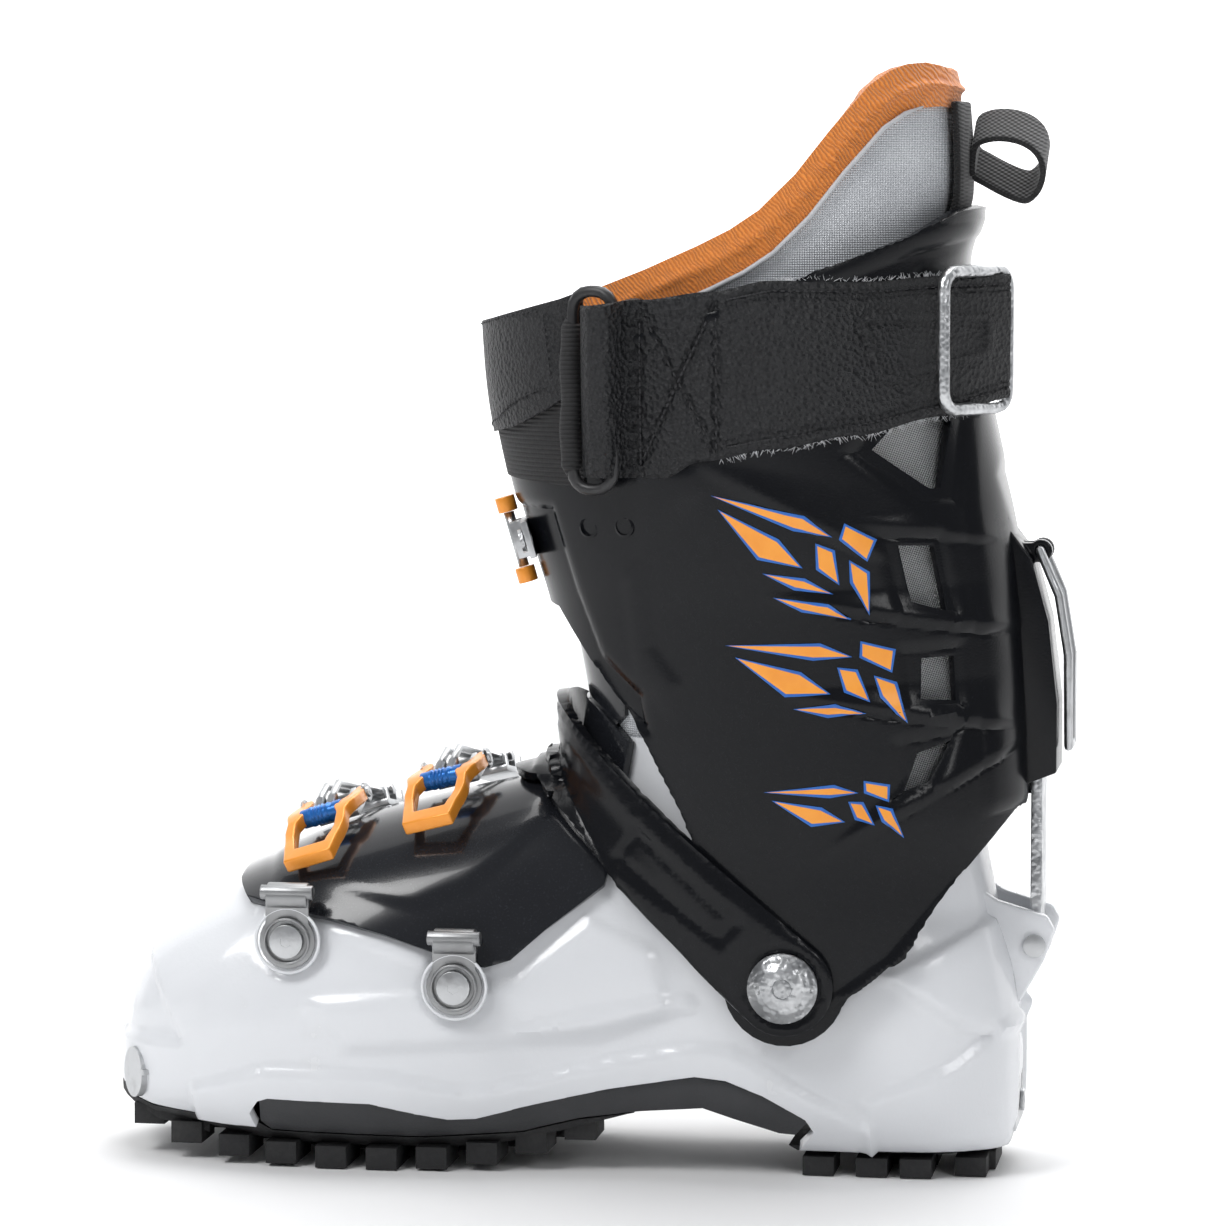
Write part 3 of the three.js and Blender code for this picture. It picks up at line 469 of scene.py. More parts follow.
# rail over the sole, side facets, heel wings, toe brow, tongue edge, seats of the hinges
RAIL = [(-224, 8), (-224, 26), (-199, 33), (-163, 32.5), (-134, 27.5), (-116, 30.5), (-88, 37.5),
        (-62, 42.5), (-50, 41), (-30, 30), (-6, 18), (-6, 0)]
FACETS = [
    (RAIL, 2.3, 2.2),
    ([(-186, 55), (-172, 40), (-92, 45), (-70, 55), (-76, 72), (-96, 82), (-120, 62)], 2.0, 5.0),
    ([(-120, 46), (-100, 46.5), (-62, 54), (-66, 58), (-100, 51.5)], 1.6, 2.6),
    ([(-2, 66), (24, 79), (40, 88), (48, 66), (36, 46), (22, 50)], 2.2, 3.2),
    ([(-8, 26), (20, 38), (36, 52), (50, 44), (50, 0), (-8, 0)], 1.8, 2.8),
    ([(-250, 45), (-246, 62), (-238, 76), (-212, 92), (-204, 78), (-222, 52)], 0.8, 8.0),
    ([(-290, 40.4), (-290, 90), (-262, 84), (-243, 66), (-233, 50), (-228, 40.4)], -1.8, 2.6),
    ([(-205, 83.5), (-180, 79.5), (-160, 75), (-146, 70.6), (-146, 66.5), (-160, 70.5),
      (-180, 75), (-205, 79.4)], 0.8, 1.8),
    ([(-200, 83), (-182, 83), (-180, 68), (-187, 62), (-196, 62), (-203, 69)], -0.8, 1.6),
    ([(-146, 70), (-128, 70), (-126, 55), (-132, 49.5), (-142, 49.5), (-148, 56)], -0.8, 1.6),
]
pressed(bm, FACETS, lambda p: abs(p.y) > 14 or (p.x < -225 and p.z > 34))
for v in bm.verts:
    v.co.x = max(v.co.x, SOLE_FRONT * MM)
bmesh.ops.recalc_face_normals(bm, faces=bm.faces)
bm.to_mesh(shell_skin.data)
bm.free()
shell_skin.data.materials.append(white_shell)
walled(shell_skin, 3.4, 0.7)
shell_skin.data.shade_smooth()
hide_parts("lower_shell")
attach(shell_skin, "shell")

# The fork: two cheeks that stand off the heel and carry the lean bar's pin.
CHEEK = [(12, 96), (22, 93), (31, 87), (46.8, 82.4), (49.3, 78), (46, 68), (37, 52), (27, 41),
         (12, 40)]
for name, low, high in (("left", -15, -10.8), ("right", 10.8, 15)):
    bm = block(CHEEK, low, high)
    bmesh.ops.bevel(bm, geom=bm.edges[:], offset=1.1 * MM, segments=3, profile=0.5,
                    affect="EDGES", material=-1)
    cheek = piece(f"fork_cheek_{name}", bm, white_shell, edge=40)
    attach(cheek, "shell")

last_mesh = lasts.data.copy()
bpy.data.objects.remove(lasts)

# ---------------------------------------------------------------- tongue
# One glossy black overlap moulding over the instep, hinged on its left edge; its
# shin part slides up inside the cuff.
def black_gloss(place):
    dust = place.noise(1400, 2).step(0.55, 0.75)
    cloud = place.noise(25, 4)
    return {
        "Base_Color": (dust * 0.5).mix_colour((0.012, 0.013, 0.016), (0.028, 0.031, 0.036)),
        "Roughness": 0.13 + cloud * 0.1,
        "Bump": (cloud, 0.00012),
    }


gloss_black = finish_of("gloss_black", black_gloss, Coat_Weight=0.25, Coat_Roughness=0.05,
                        Specular_IOR_Level=0.35)
TONGUE_EDGE = [
    (-216, 99), (-213.8, 90), (-209, 86), (-196, 84), (-179.4, 81.7), (-160, 77),
    (-143.3, 71.6), (-136, 68.8), (-128, 67.2), (-120, 69.5), (-109.5, 78.9), (-99, 87),
    (-91.5, 93), (-88, 108), (-87, 124), (-84.5, 138), (-95, 147), (-107, 152), (-170, 152),
]
bm = bmesh.new()
bm.from_mesh(last_mesh)
bm.normal_update()
for v in bm.verts:
    v.co += v.normal * 4.1 * MM
trim(bm, TONGUE_EDGE)
pressed(bm, [
    ([(-214, 108), (-200, 92), (-176, 90), (-150, 86), (-134, 92), (-112, 112), (-112, 135)], 0.9, 5),
])
tongue = piece("tongue_instep_moulding", bm, gloss_black)
walled(tongue, 3.2, 0.6)
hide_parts("tongue_instep")
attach(tongue, "shell")

# ---------------------------------------------------------------- sole and arch
# Black rubber treads fore and aft, bonded to the shell, and a harder dark plastic
# insert that stiffens the arch between them.
def hardware(node, body, material, round_by=0.4, crisp=30, segments=2):
    """A CAD node carried over with its edges rounded."""
    bm = bmesh.new()
    bm.from_mesh(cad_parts[node].data)
    bmesh.ops.remove_doubles(bm, verts=bm.verts, dist=2e-5)
    bmesh.ops.dissolve_limit(bm, angle_limit=math.radians(2), verts=bm.verts, edges=bm.edges)
    bmesh.ops.triangulate(bm, faces=[f for f in bm.faces if len(f.verts) > 4])
    if round_by:
        sharp = [e for e in bm.edges if len(e.link_faces) == 2
                 and e.calc_face_angle(0) > math.radians(crisp)]
        bmesh.ops.bevel(bm, geom=sharp, offset=round_by * MM, offset_type="OFFSET",
                        affect="EDGES", segments=segments, profile=0.5, material=-1,
                        clamp_overlap=True)
    made = piece(f"{node}_finished", bm, material, edge=50)
    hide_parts(node)
    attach(made, body)
    return made


def rubber_look(place):
    grit = place.noise(700, 4)
    dust = place.noise(40, 5, 0.6).step(0.5, 0.8)
    return {
        "Base_Color": (dust * 0.6).mix_colour((0.016, 0.016, 0.017), (0.05, 0.049, 0.047)),
        "Roughness": 0.62 + grit * 0.25,
        "Bump": (grit, 0.00025),
    }


def insert_look(place):
    grain = place.noise(1200, 3)
    streak = place.noise(60, 3)
    return {
        "Base_Color": streak.mix_colour((0.022, 0.023, 0.025), (0.045, 0.046, 0.05)),
        "Roughness": 0.4 + grain * 0.15,
        "Bump": (grain, 0.0001),
    }


sole_rubber = finish_of("sole_rubber", rubber_look)
arch_plastic = finish_of("arch_plastic", insert_look)
hardware("outsole_forefoot", "shell", sole_rubber, 0.6)
hardware("outsole_heel", "shell", sole_rubber, 0.6)
hardware("arch_insert", "shell", arch_plastic, 0.7, 40)
hardware("boot_board", "shell", arch_plastic, 0.5)

# ---------------------------------------------------------------- binding fittings
# Steel inserts moulded into the toe and heel ledges, with a countersunk screw in
# the heel plate.
def cast_steel(place):
    grain = place.noise(500, 4)
    stain = place.noise(90, 4, 0.6).step(0.45, 0.75)
    return {
        "Base_Color": (stain * 0.6).mix_colour((0.56, 0.57, 0.58), (0.33, 0.33, 0.33)),
        "Roughness": 0.26 + grain * 0.2,
        "Bump": (grain, 0.00015),
    }


steel = finish_of("cast_steel", cast_steel, Metallic=1.0)
hardware("toe_tech_insert", "shell", steel, 0.5)
hardware("heel_tech_plate", "shell", steel, 0.35)
hardware("heel_plate_screw", "shell", steel, 0.2)
SOCKET_HALF = (6.0, 8.2)
SOCKET_RIM = 2.4
probe = bmesh.new()
probe.from_mesh(shell_skin.data)
shell_tree = BVHTree.FromBMesh(probe)
probe.free()
for side, sign in (("left", -1), ("right", 1)):
    seat_at, facing, _, _ = shell_tree.ray_cast(
        Vector((-245.5, sign * 90, 28)) * MM, Vector((0, -sign, 0)))
    facing = Vector((facing.x, facing.y, 0)).normalized()
    if facing.y * sign < 0:
        facing = -facing
    along = Vector((facing.y, -facing.x, 0)) * sign
    bm = bmesh.new()
    bmesh.ops.create_circle(bm, cap_ends=True, segments=40, radius=1)
    for v in bm.verts:
        oval = along * v.co.x * SOCKET_HALF[0] + Vector((0, 0, v.co.y * SOCKET_HALF[1]))
        v.co = seat_at + (oval - facing * SOCKET_RIM / 2) * MM
    rimmed = bmesh.ops.extrude_face_region(bm, geom=bm.faces[:])
    bmesh.ops.translate(bm, vec=facing * SOCKET_RIM * MM,
                        verts=[g for g in rimmed["geom"] if isinstance(g, bmesh.types.BMVert)])
    bmesh.ops.recalc_face_normals(bm, faces=bm.faces)
    outer = max(bm.faces, key=lambda f: f.calc_center_median().y * sign)
    bmesh.ops.inset_individual(bm, faces=[outer], thickness=1.5 * MM, depth=-0.5 * MM)
    bmesh.ops.inset_individual(bm, faces=[outer], thickness=2.2 * MM, depth=0.0)
    bmesh.ops.inset_individual(bm, faces=[outer], thickness=0.5 * MM, depth=-1.6 * MM)
    cup = piece(f"toe_socket_{side}", bm, steel, edge=35)
    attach(cup, "shell")

# ---------------------------------------------------------------- tongue hinges
# Pressed steel plates riveted to the shell, their upper ends rolled round the pin
# of the tongue's edge.
hinge_steel = finish_of(
    "hinge_steel",
    lambda place: {
        "Base_Color": wear(place, (0.36, 0.365, 0.37), (0.22, 0.22, 0.222), 90),
        "Roughness": 0.34 + place.noise(500, 3) * 0.16,
    },
    Metallic=1.0,
)
TAB_REACH = 9
EYE_RADIUS = 4.3
for which in ("toe", "instep"):
    hardware(f"hinge_bracket_{which}", "shell", hinge_steel, 0.35)
    hardware(f"hinge_rivet_{which}", "shell", steel, 0.5)
    low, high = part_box(f"hinge_bracket_{which}")
    middle = (low + high) / 2
    # a moulded ring in the shell round the plate, and a pressed ring round the rivet
    for ring, (reach, thick, deep) in enumerate(((10.2, 0.55, 1.6), (7.1, 0.5, 0.0))):
        bm = bmesh.new()
        bmesh.ops.create_circle(bm, segments=10, radius=thick * MM)
        bmesh.ops.translate(bm, verts=bm.verts, vec=(reach * MM, 0, 0))
        bmesh.ops.spin(bm, geom=bm.verts[:] + bm.edges[:], cent=(0, 0, 0), axis=(0, 1, 0),
                       angle=math.tau, steps=40, use_merge=True)
        centre = Vector((middle.x, low.y + (0.6 + deep) * MM, low.z + TAB_REACH * MM))
        bmesh.ops.translate(bm, verts=bm.verts, vec=centre)
        bmesh.ops.recalc_face_normals(bm, faces=bm.faces)
        hoop = piece(f"hinge_{which}_rim_{ring}", bm, white_shell if deep else hinge_steel)
        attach(hoop, "shell")
    # the rolled eye over the tongue's edge bead
    bm = bmesh.new()
    bmesh.ops.create_cone(bm, cap_ends=True, segments=36, radius1=EYE_RADIUS * MM,
                          radius2=EYE_RADIUS * MM, depth=13.4 * MM)
    bmesh.ops.rotate(bm, verts=bm.verts, cent=(0, 0, 0),
                     matrix=Matrix.Rotation(math.radians(90), 3, "Y"))
    bmesh.ops.bevel(bm, geom=[e for e in bm.edges if e.calc_face_angle(0) > 1], offset=0.6 * MM,
                    affect="EDGES", segments=3, profile=0.5, material=-1)
    bmesh.ops.translate(bm, verts=bm.verts, vec=(middle.x, low.y + 0.0042, high.z - 0.0038))
    eye = piece(f"hinge_{which}_eye", bm, hinge_steel, edge=40)
    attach(eye, "shell")
    bm = bmesh.new()
    bmesh.ops.create_circle(bm, cap_ends=True, segments=6, radius=1.9 * MM)
    bm.normal_update()
    bmesh.ops.inset_individual(bm, faces=bm.faces[:], thickness=0.3 * MM, depth=-0.9 * MM)
    bmesh.ops.rotate(bm, verts=bm.verts, cent=(0, 0, 0),
                     matrix=Matrix.Rotation(math.radians(90), 3, "X"))
    rivet_low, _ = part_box(f"hinge_rivet_{which}")
    bmesh.ops.translate(bm, verts=bm.verts, vec=(
        middle.x, rivet_low.y - 0.1 * MM, low.z + TAB_REACH * MM))
    drive = piece(f"hinge_{which}_drive", bm, steel, edge=30)
    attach(drive, "shell")

# ---------------------------------------------------------------- inner boot
# Heat-mouldable foam boot: silver-grey woven outer, an orange ribbed collar rolled
# over the rim, a black spine at the back and a webbing loop to pull it on by.
CUFF = [  # station z, front x, rear x, half width
    (36, -80, 30, 50), (60, -90, 35.6, 50), (80, -97, 37.2, 50), (100, -101, 37.5, 50),
    (118, -103, 38.5, 50.5), (150, -107, 37, 51.5), (180, -113, 34.8, 53),
    (200, -119, 32.5, 55), (222, -125, 28.5, 57), (245, -129.5, 23.5, 58.5),
    (268, -131.5, 20, 59.5), (290, -132, 17.5, 60), (312, -130, 23, 60), (362, -118, 20, 56),
]
RIM = [
    (-135, 270), (-112, 276), (-94, 281), (-77, 287.5), (-60, 295), (-50, 300), (-41, 306),
    (-30, 317), (-19.6, 330.6), (-8, 344.5), (-2, 349), (3, 351.2), (8, 351.8), (12, 351),
    (16, 349), (24, 347),
]


def silver_weave(place):
    across = (place.part(0) + place.part(2)).math("MULTIPLY", 4200).math("SINE")
    along = (place.part(0) - place.part(2)).math("MULTIPLY", 4200).math("SINE")
    weave = across * along
    cloud = place.noise(22, 4)
    shine = (weave * 0.25 + cloud).step(0.25, 0.85)
    return {
        "Base_Color": shine.mix_colour((0.42, 0.44, 0.47), (0.80, 0.82, 0.85)),
        "Roughness": 0.42 + weave * 0.08,
        "Bump": (weave, 0.00018),
    }


def ribbed_orange(place):
    lengthwise = place.part(0) * 0.75 + place.part(2) * 0.66
    waves = place.noise(190, 3)
    ribs = (lengthwise * 5600 + waves * 16).math("SINE")
    pile = place.noise(1500, 2)
    depth = ribs * 0.5 + pile * 0.6
    return {
        # painted shade: the base colour follows depth, the rib height, so the rib grooves are darker
        # orange and the crests lighter; the pile noise in it is random tone
        "Base_Color": depth.step(-0.2, 0.8).mix_colour((0.66, 0.18, 0.02), (0.88, 0.29, 0.045)),
        "Roughness": 0.75 + pile * 0.15,
        "Bump": (depth, 0.0004),
    }


liner_silver = finish_of("liner_silver_weave", silver_weave, Sheen_Weight=0.3, Metallic=0.15)
collar_orange = finish_of("collar_ribbed_orange", ribbed_orange, Sheen_Weight=0.4)
liner_inner = finish_of(
    "liner_inner_pile",
    lambda place: {
        "Base_Color": wear(place, (0.03, 0.03, 0.033), (0.06, 0.06, 0.066), 200),
        "Roughness": 0.85 + place.noise(900, 2) * 0.1,
        "Bump": (place.noise(1300, 3), 0.0004),
    },
    Sheen_Weight=0.3,
)


def swollen(made, most, voxel=4.5):
    """Puffs a padded piece with air inside it, no point moving further than most mm."""
    remesh = made.modifiers.new("remesh", "REMESH")
    remesh.mode = "VOXEL"
    remesh.voxel_size = voxel * MM
    settled(made)
    start = [v.co.copy() for v in made.data.vertices]
    cloth = made.modifiers.new("cloth", "CLOTH")
    cloth.settings.use_pressure = True
    cloth.settings.uniform_pressure_force = 3
    cloth.settings.tension_stiffness = 30
    cloth.settings.compression_stiffness = 30
    cloth.settings.bending_stiffness = 4
    cloth.settings.effector_weights.gravity = 0
    for step in range(1, 16):
        scene.frame_set(step)
    settled(made)
    scene.frame_set(1)
    for v, at in zip(made.data.vertices, start):
        shift = v.co - at
        if shift.length > most * MM:
            v.co = at + shift.normalized() * most * MM
    made.data.shade_smooth()
    return made


def dropped(line, by):
    return [(x + by * 0.35, z - by) for x, z in line]


SHAFT_REACH = 93.5  # the shaft stays outside this circle about the pivot
bm = wrapped(120, 110, lambda turn, t: leg_point(CUFF, turn, 118 + 240 * t, -6.6), caps=False)
liner_edge = [*dropped(RIM, 5), (60, 342), (60, 118), (-86, 118), (-98, 176), (-150, 200), (-150, 262)]
trim(bm, liner_edge)
for v in bm.verts:
    reach = math.hypot(v.co.x / MM - PIVOT[0], v.co.z / MM - PIVOT[1])
    if reach < SHAFT_REACH:
        v.co.z += (SHAFT_REACH - reach) * 0.9 * MM
liner = piece("liner_shaft_padded", bm, liner_silver, liner_inner)
wall = liner.modifiers.new("wall", "SOLIDIFY")
wall.thickness = 6.4 * MM
wall.offset = -1
wall.material_offset = 1
settled(liner)
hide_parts("liner_shaft")
swollen(liner, 0.9)
if not liner.data.materials:
    liner.data.materials.append(liner_silver)
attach(liner, "cuff")

bm = bmesh.new()
bm.from_mesh(last_mesh)
bm.normal_update()
for v in bm.verts:
    v.co -= v.normal * 6.2 * MM
trim(bm, [(-245, 30), (-245, 120), (-110, 128), (-78, 140), (-44, 148), (-12, 142), (26, 120),
          (26, 30)])
bootie = piece("liner_foot_padded", bm, liner_inner)
wall = bootie.modifiers.new("wall", "SOLIDIFY")
wall.thickness = 4.6 * MM
wall.offset = -1
settled(bootie)
swollen(bootie, 0.6, 5)
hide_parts("liner_foot", "liner_toe_box")
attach(bootie, "shell")

# collar: a rolled band that follows the rim, its seam standing as a ridge half way down
bm = wrapped(200, 190, lambda turn, t: leg_point(CUFF, turn, 252 + 103 * t, -6.0), caps=False)
band = [*RIM, (60, 346), (60, 334), *dropped(RIM, 13.5)[::-1]]
trim(bm, band)
seam_at = [(x + 0.35 * 6.5, z - 6.5) for x, z in RIM]
for v in bm.verts:
    p = v.co / MM
    gap = min(math.dist((p.x, p.z), s) for s in [
        (a[0] + (b[0] - a[0]) * k / 6, a[1] + (b[1] - a[1]) * k / 6)
        for a, b in zip(seam_at, seam_at[1:]) for k in range(6)
    ])
    out = Vector((p.x + 50, p.y, 0)).normalized()
    v.co += out * (1.5 * math.exp(-(gap / 0.9) ** 2) + 0.9 * eased(1 - gap / 7.5)) * MM
collar = piece("liner_collar", bm, collar_orange)
wall = collar.modifiers.new("wall", "SOLIDIFY")
wall.thickness = 9.0 * MM
wall.offset = -1
rounding = collar.modifiers.new("rounding", "BEVEL")
rounding.width = 3.2 * MM
rounding.segments = 4
rounding.limit_method = "ANGLE"
rounding.angle_limit = math.radians(60)
settled(collar)
collar.data.shade_smooth()
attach(collar, "cuff")


def tube(name, points, radius, material, body, sides=8):
    """A round bead along points in mm, its ends closed."""
    bm = bmesh.new()
    bmesh.ops.create_grid(bm, x_segments=sides, y_segments=len(points) - 1, size=1)
    path = [Vector(p) for p in points]
    for v in bm.verts:
        k = round((v.co.y + 1) / 2 * (len(path) - 1))
        ahead = path[min(k + 1, len(path) - 1)] - path[max(k - 1, 0)]
        one = ahead.orthogonal().normalized() if abs(ahead.y) < 1e-9 else ahead.cross(
            Vector((0.13, 0.09, 1))).normalized()
        two = ahead.cross(one).normalized()
        turn = math.pi * (v.co.x + 1)
        size = radius * (0.4 if k in (0, len(path) - 1) else 1)
        v.co = (path[k] + (one * math.cos(turn) + two * math.sin(turn)) * size) * MM
    bmesh.ops.remove_doubles(bm, verts=bm.verts, dist=1e-6)
    bmesh.ops.holes_fill(bm, edges=[e for e in bm.edges if e.is_boundary], sides=0)
    bmesh.ops.recalc_face_normals(bm, faces=bm.faces)
    made = piece(name, bm, material)
    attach(made, body)
    return made


def leg_side(table, x, z, grow=0.0, side=-1):
    """The skin's place, in mm, at a side-view point."""
    _, front, rear, half = row_at(table, z)
    reach = (rear - front) / 2 + grow
    t = min(abs(x - (front + rear) / 2) / reach, 1)
    return Vector((x, side * (half + grow) * (1 - t ** 2.35) ** (1 / 2.35), z))


piping_grey = finish_of(
    "piping_grey",
    lambda place: {
        "Base_Color": wear(place, (0.55, 0.56, 0.58), (0.4, 0.41, 0.43), 300),
        "Roughness": 0.5 + place.noise(500, 2) * 0.2,
    },
)
for side, sign in (("left", -1), ("right", 1)):
    line = [leg_side(CUFF, x, z, -5.0, sign) for x, z in dropped(RIM, 13.2)[1:-4]]
    tube(f"collar_piping_{side}", line, 0.8, piping_grey, "cuff")

webbing = finish_of(
    "webbing_black",
    lambda place: {
        "Base_Color": wear(place, (0.004, 0.004, 0.0045), (0.014, 0.014, 0.015), 250),
        "Roughness": 0.7 + place.noise(400, 2) * 0.2,
        "Bump": ((place.part(2) * 5200).math("SINE") * (place.part(0) * 3000).math("SINE"), 0.0002),
    },
    Sheen_Weight=0.25,
)
bm = wrapped(90, 30, lambda turn, t: leg_point(CUFF, turn, 296 + 44 * t, -2.4), caps=False)
bmesh.ops.delete(bm, context="FACES", geom=[
    f for f in bm.faces if abs(f.calc_center_median().y) > 0.0185 or f.calc_center_median().x < 0])
spine = piece("liner_spine_panel", bm, webbing)
walled(spine, 2.4, 0.7)
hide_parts("liner_spine")
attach(spine, "cuff")

LOOP = [(21.4, 321), (21.2, 326), (22.2, 330.5), (26, 332.3), (31, 332.6), (36, 331.6), (40, 329.4),
        (42.6, 326), (43.4, 321.5), (42, 316.6), (39, 313.4), (36, 313.4), (31, 315.4), (25, 318.6)]
bm = bmesh.new()
bmesh.ops.create_grid(bm, x_segments=len(LOOP) * 3, y_segments=12, size=1)
for v in bm.verts:
    place = (v.co.x + 1) / 2 * len(LOOP)
    k, t = int(place) % len(LOOP), place % 1
    a, b, c, d = (Vector(LOOP[(k + j - 1) % len(LOOP)]) for j in range(4))
    at = 0.5 * (2 * b + (c - a) * t + (2 * a - 5 * b + 4 * c - d) * t * t
                + (3 * b - a - 3 * c + d) * t ** 3)
    hang = v.co.y * 4.6
    v.co = Vector((at.x, v.co.y * 9.2 + 0.5 * math.sin(place), at.y + hang)) * MM
bmesh.ops.remove_doubles(bm, verts=bm.verts, dist=1e-5)
bmesh.ops.recalc_face_normals(bm, faces=bm.faces)
loop = piece("pull_loop_webbing", bm, webbing)
walled(loop, 1.9, 0.4, offset=0)
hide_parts("pull_loop")
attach(loop, "cuff")

# ---------------------------------------------------------------- tongue shin
# The upper half of the tongue moulding, which bends over the instep and runs up
# inside the cuff.
bm = wrapped(150, 60, lambda turn, t: leg_point(CUFF, turn, 136 + 74 * t, -5.3), caps=False)
trim(bm, [(-150, 137), (-95, 137), (-86, 146), (-85, 204), (-150, 210)])
shin = piece("tongue_shin_moulding", bm, gloss_black)
walled(shin, 2.8, 0.7)
settled(shin)
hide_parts("tongue_shin")
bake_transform(shin)

# ---------------------------------------------------------------- cuff
# Satin black moulding that swings on the ankle rivets. Long tapering louvres run
# forward from four meshed vents, and the front flap overlaps along a slanting edge.
CUFF_EDGE = [
    (-150, 258), (-100, 262), (-60, 272), (-22.3, 287), (4, 298), (16, 306), (22, 307.5), (60, 307.5),
    (60, 118.3), (35.3, 118.3), (21.8, 100.9), (3.6, 72.7), (-12.7, 61),
    *((PIVOT[0] + 19 * math.cos(math.radians(a)), PIVOT[1] + 19 * math.sin(math.radians(a)))
      for a in range(-12, -169, -12)),
    (-52.5, 80), (-56, 92), (-59.5, 102.2), (-66, 118), (-77.5, 139.9), (-92, 161), (-105.8, 180.7),
    (-150, 190),
]
VENTS = [
    [(-7, 232), (4, 245), (14.5, 240), (12.5, 219.5), (9.5, 219.5)],
    [(1, 202.3), (11, 202), (15, 181), (5, 184)],
    [(8, 167), (17, 167.4), (18, 152.8), (8, 153.6)],
    [(7, 137.2), (17, 141), (11, 128), (3.6, 124.8)],
]
FRAMES = [
    [(-14, 231), (2, 252), (19, 246), (18, 214), (8, 213)],
    [(-5, 206), (14, 206.5), (19.5, 178), (1, 180)],
    [(2, 170.5), (19.5, 171.5), (21, 149.5), (3, 149.5)],
    [(1, 141.5), (20.5, 145), (13, 125), (0, 121)],
]
LOUVRES = [  # (tip, rear end of the upper line, rear end of the lower line), height
    ((-66, 232), (-14, 222), (-10, 204.5), 1.1),
    ((-16, 211), (22, 216), (22, 205), 0.9),
    ((-42, 188), (22, 190), (23, 177.5), 2.0),
    ((-36, 157), (22, 160), (25, 147.5), 2.0),
    ((-24, 104), (26, 150), (23, 134), 1.6),
]
SWELLS = [
    ([(19, 250), (31, 250), (27, 222), (33, 202), (36, 170), (37, 120), (27, 118), (26, 150),
      (23, 190), (21, 212), (20, 240)], 1.2, 3.0),
    ([(-150, 214), (-106, 214), (-98, 187), (-90, 167), (-77, 155), (-75, 142), (-92, 155),
      (-110, 176), (-150, 190)], -1.3, 2.4),
    ([(-77, 226), (-60, 226), (-60, 219), (-82, 192), (-78, 160), (-68, 150), (-66, 158),
      (-75, 170), (-77, 192)], 0.7, 6.0),
    ([(-135, 259), (-100, 263), (-60, 273), (-22, 288), (4, 299), (30, 308), (30, 303), (4, 294),
      (-22, 283), (-60, 268), (-100, 258), (-135, 254)], 0.8, 2.4),
    ([(-14, 60), (4, 72), (23, 100), (36, 117), (36, 111), (20, 97), (0, 72), (-16, 60)], 1.0, 3.2),
    ([(-52.5, 82), (-60, 104), (-68, 121), (-79, 142), (-93, 163), (-96, 161), (-79, 137),
      (-67, 113), (-61, 98)], 0.9, 3.0),
]


def satin_black(place):
    grain = place.noise(1500, 2)
    dust = place.noise(2600, 1).step(0.66, 0.74)
    rubbed = place.noise(28, 5, 0.65).step(0.55, 0.85)
    return {
        "Base_Color": (dust * 0.35 + rubbed * 0.4).mix_colour(
            (0.004, 0.0045, 0.006), (0.018, 0.019, 0.023)),
        "Roughness": 0.2 + rubbed * 0.14 + grain * 0.05,
        "Bump": (grain, 0.00004),
    }


cuff_black = finish_of("cuff_satin_black", satin_black, Coat_Weight=0.06, Coat_Roughness=0.1,
                       Specular_IOR_Level=0.22)
bm = wrapped(270, 230, lambda turn, t: leg_point(CUFF, turn, 42 + 266.5 * t, -0.6), caps=False)
pressed(bm, SWELLS + [(frame_line, -1.1, 2.2) for frame_line in FRAMES])
bm.normal_update()
lifts = {}
for v in bm.verts:
    p = v.co / MM
    if abs(p.y) < 14:
        continue
    rise = 0.0
    for tip, upper, lower, tall in LOUVRES:
        t = (p.x - tip[0]) / (upper[0] - tip[0])
        if 0 < t < 1.25:
            top = tip[1] + (upper[1] - tip[1]) * t
            low = tip[1] + (lower[1] - tip[1]) * t
            across = (top - p.z) / max(top - low, 0.5)
            fade = eased(t * 1.6) * eased((1.25 - t) * 5)
            if 0 < across <= 1:
                rise += tall * fade * across ** 1.6
            elif across > 1:
                rise += tall * fade * eased(1 - (low - p.z) / 2.6)
    if rise:
        lifts[v] = v.normal * rise * MM
for v, lift in lifts.items():
    v.co += lift
trim(bm, CUFF_EDGE)
for vent in VENTS:
    trim(bm, vent, keep=False, side=lambda p: abs(p.y) > 16)
bmesh.ops.delete(bm, context="FACES", geom=[
    f for f in bm.faces
    if f.calc_center_median().z < 0.1245 and abs(f.calc_center_median().y) < 0.012
    and f.calc_center_median().x > 0])
bmesh.ops.recalc_face_normals(bm, faces=bm.faces)
cuff = piece("cuff_moulding", bm, cuff_black)
walled(cuff, 3.0, 0.6)
settled(cuff)
cuff.data.shade_smooth()
cuff.data.set_sharp_from_angle(angle=math.radians(40))
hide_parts("cuff_shell")
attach(cuff, "cuff")

probe = bmesh.new()
probe.from_mesh(cuff.data)
cuff_tree = BVHTree.FromBMesh(probe)
probe.free()


def on_cuff(x, z, lift, side=-1):
    """The point, in mm, that lies lift above the cuff at a side-view point."""
    hit, normal, _, _ = cuff_tree.ray_cast(Vector((x, side * 95, z)) * MM, Vector((0, -side, 0)))
    if hit is None:
        return leg_side(CUFF, x, z, lift, side)
    return hit / MM + normal * lift


# Silver mesh behind the vents, held by the cuff's inner face.
def vent_mesh(place):
    one = (place.part(2) * 9000 + place.part(0) * 3200).math("SINE")
    two = (place.part(0) * 9000 - place.part(2) * 3200).math("SINE")
    wires = one.math("MAXIMUM", two)
    return {
        "Base_Color": wires.step(-0.1, 0.7).mix_colour((0.2, 0.2, 0.21), (0.82, 0.83, 0.84)),
        "Roughness": 0.4 + place.noise(500, 2) * 0.2,
        "Bump": (wires, 0.0004),
    }


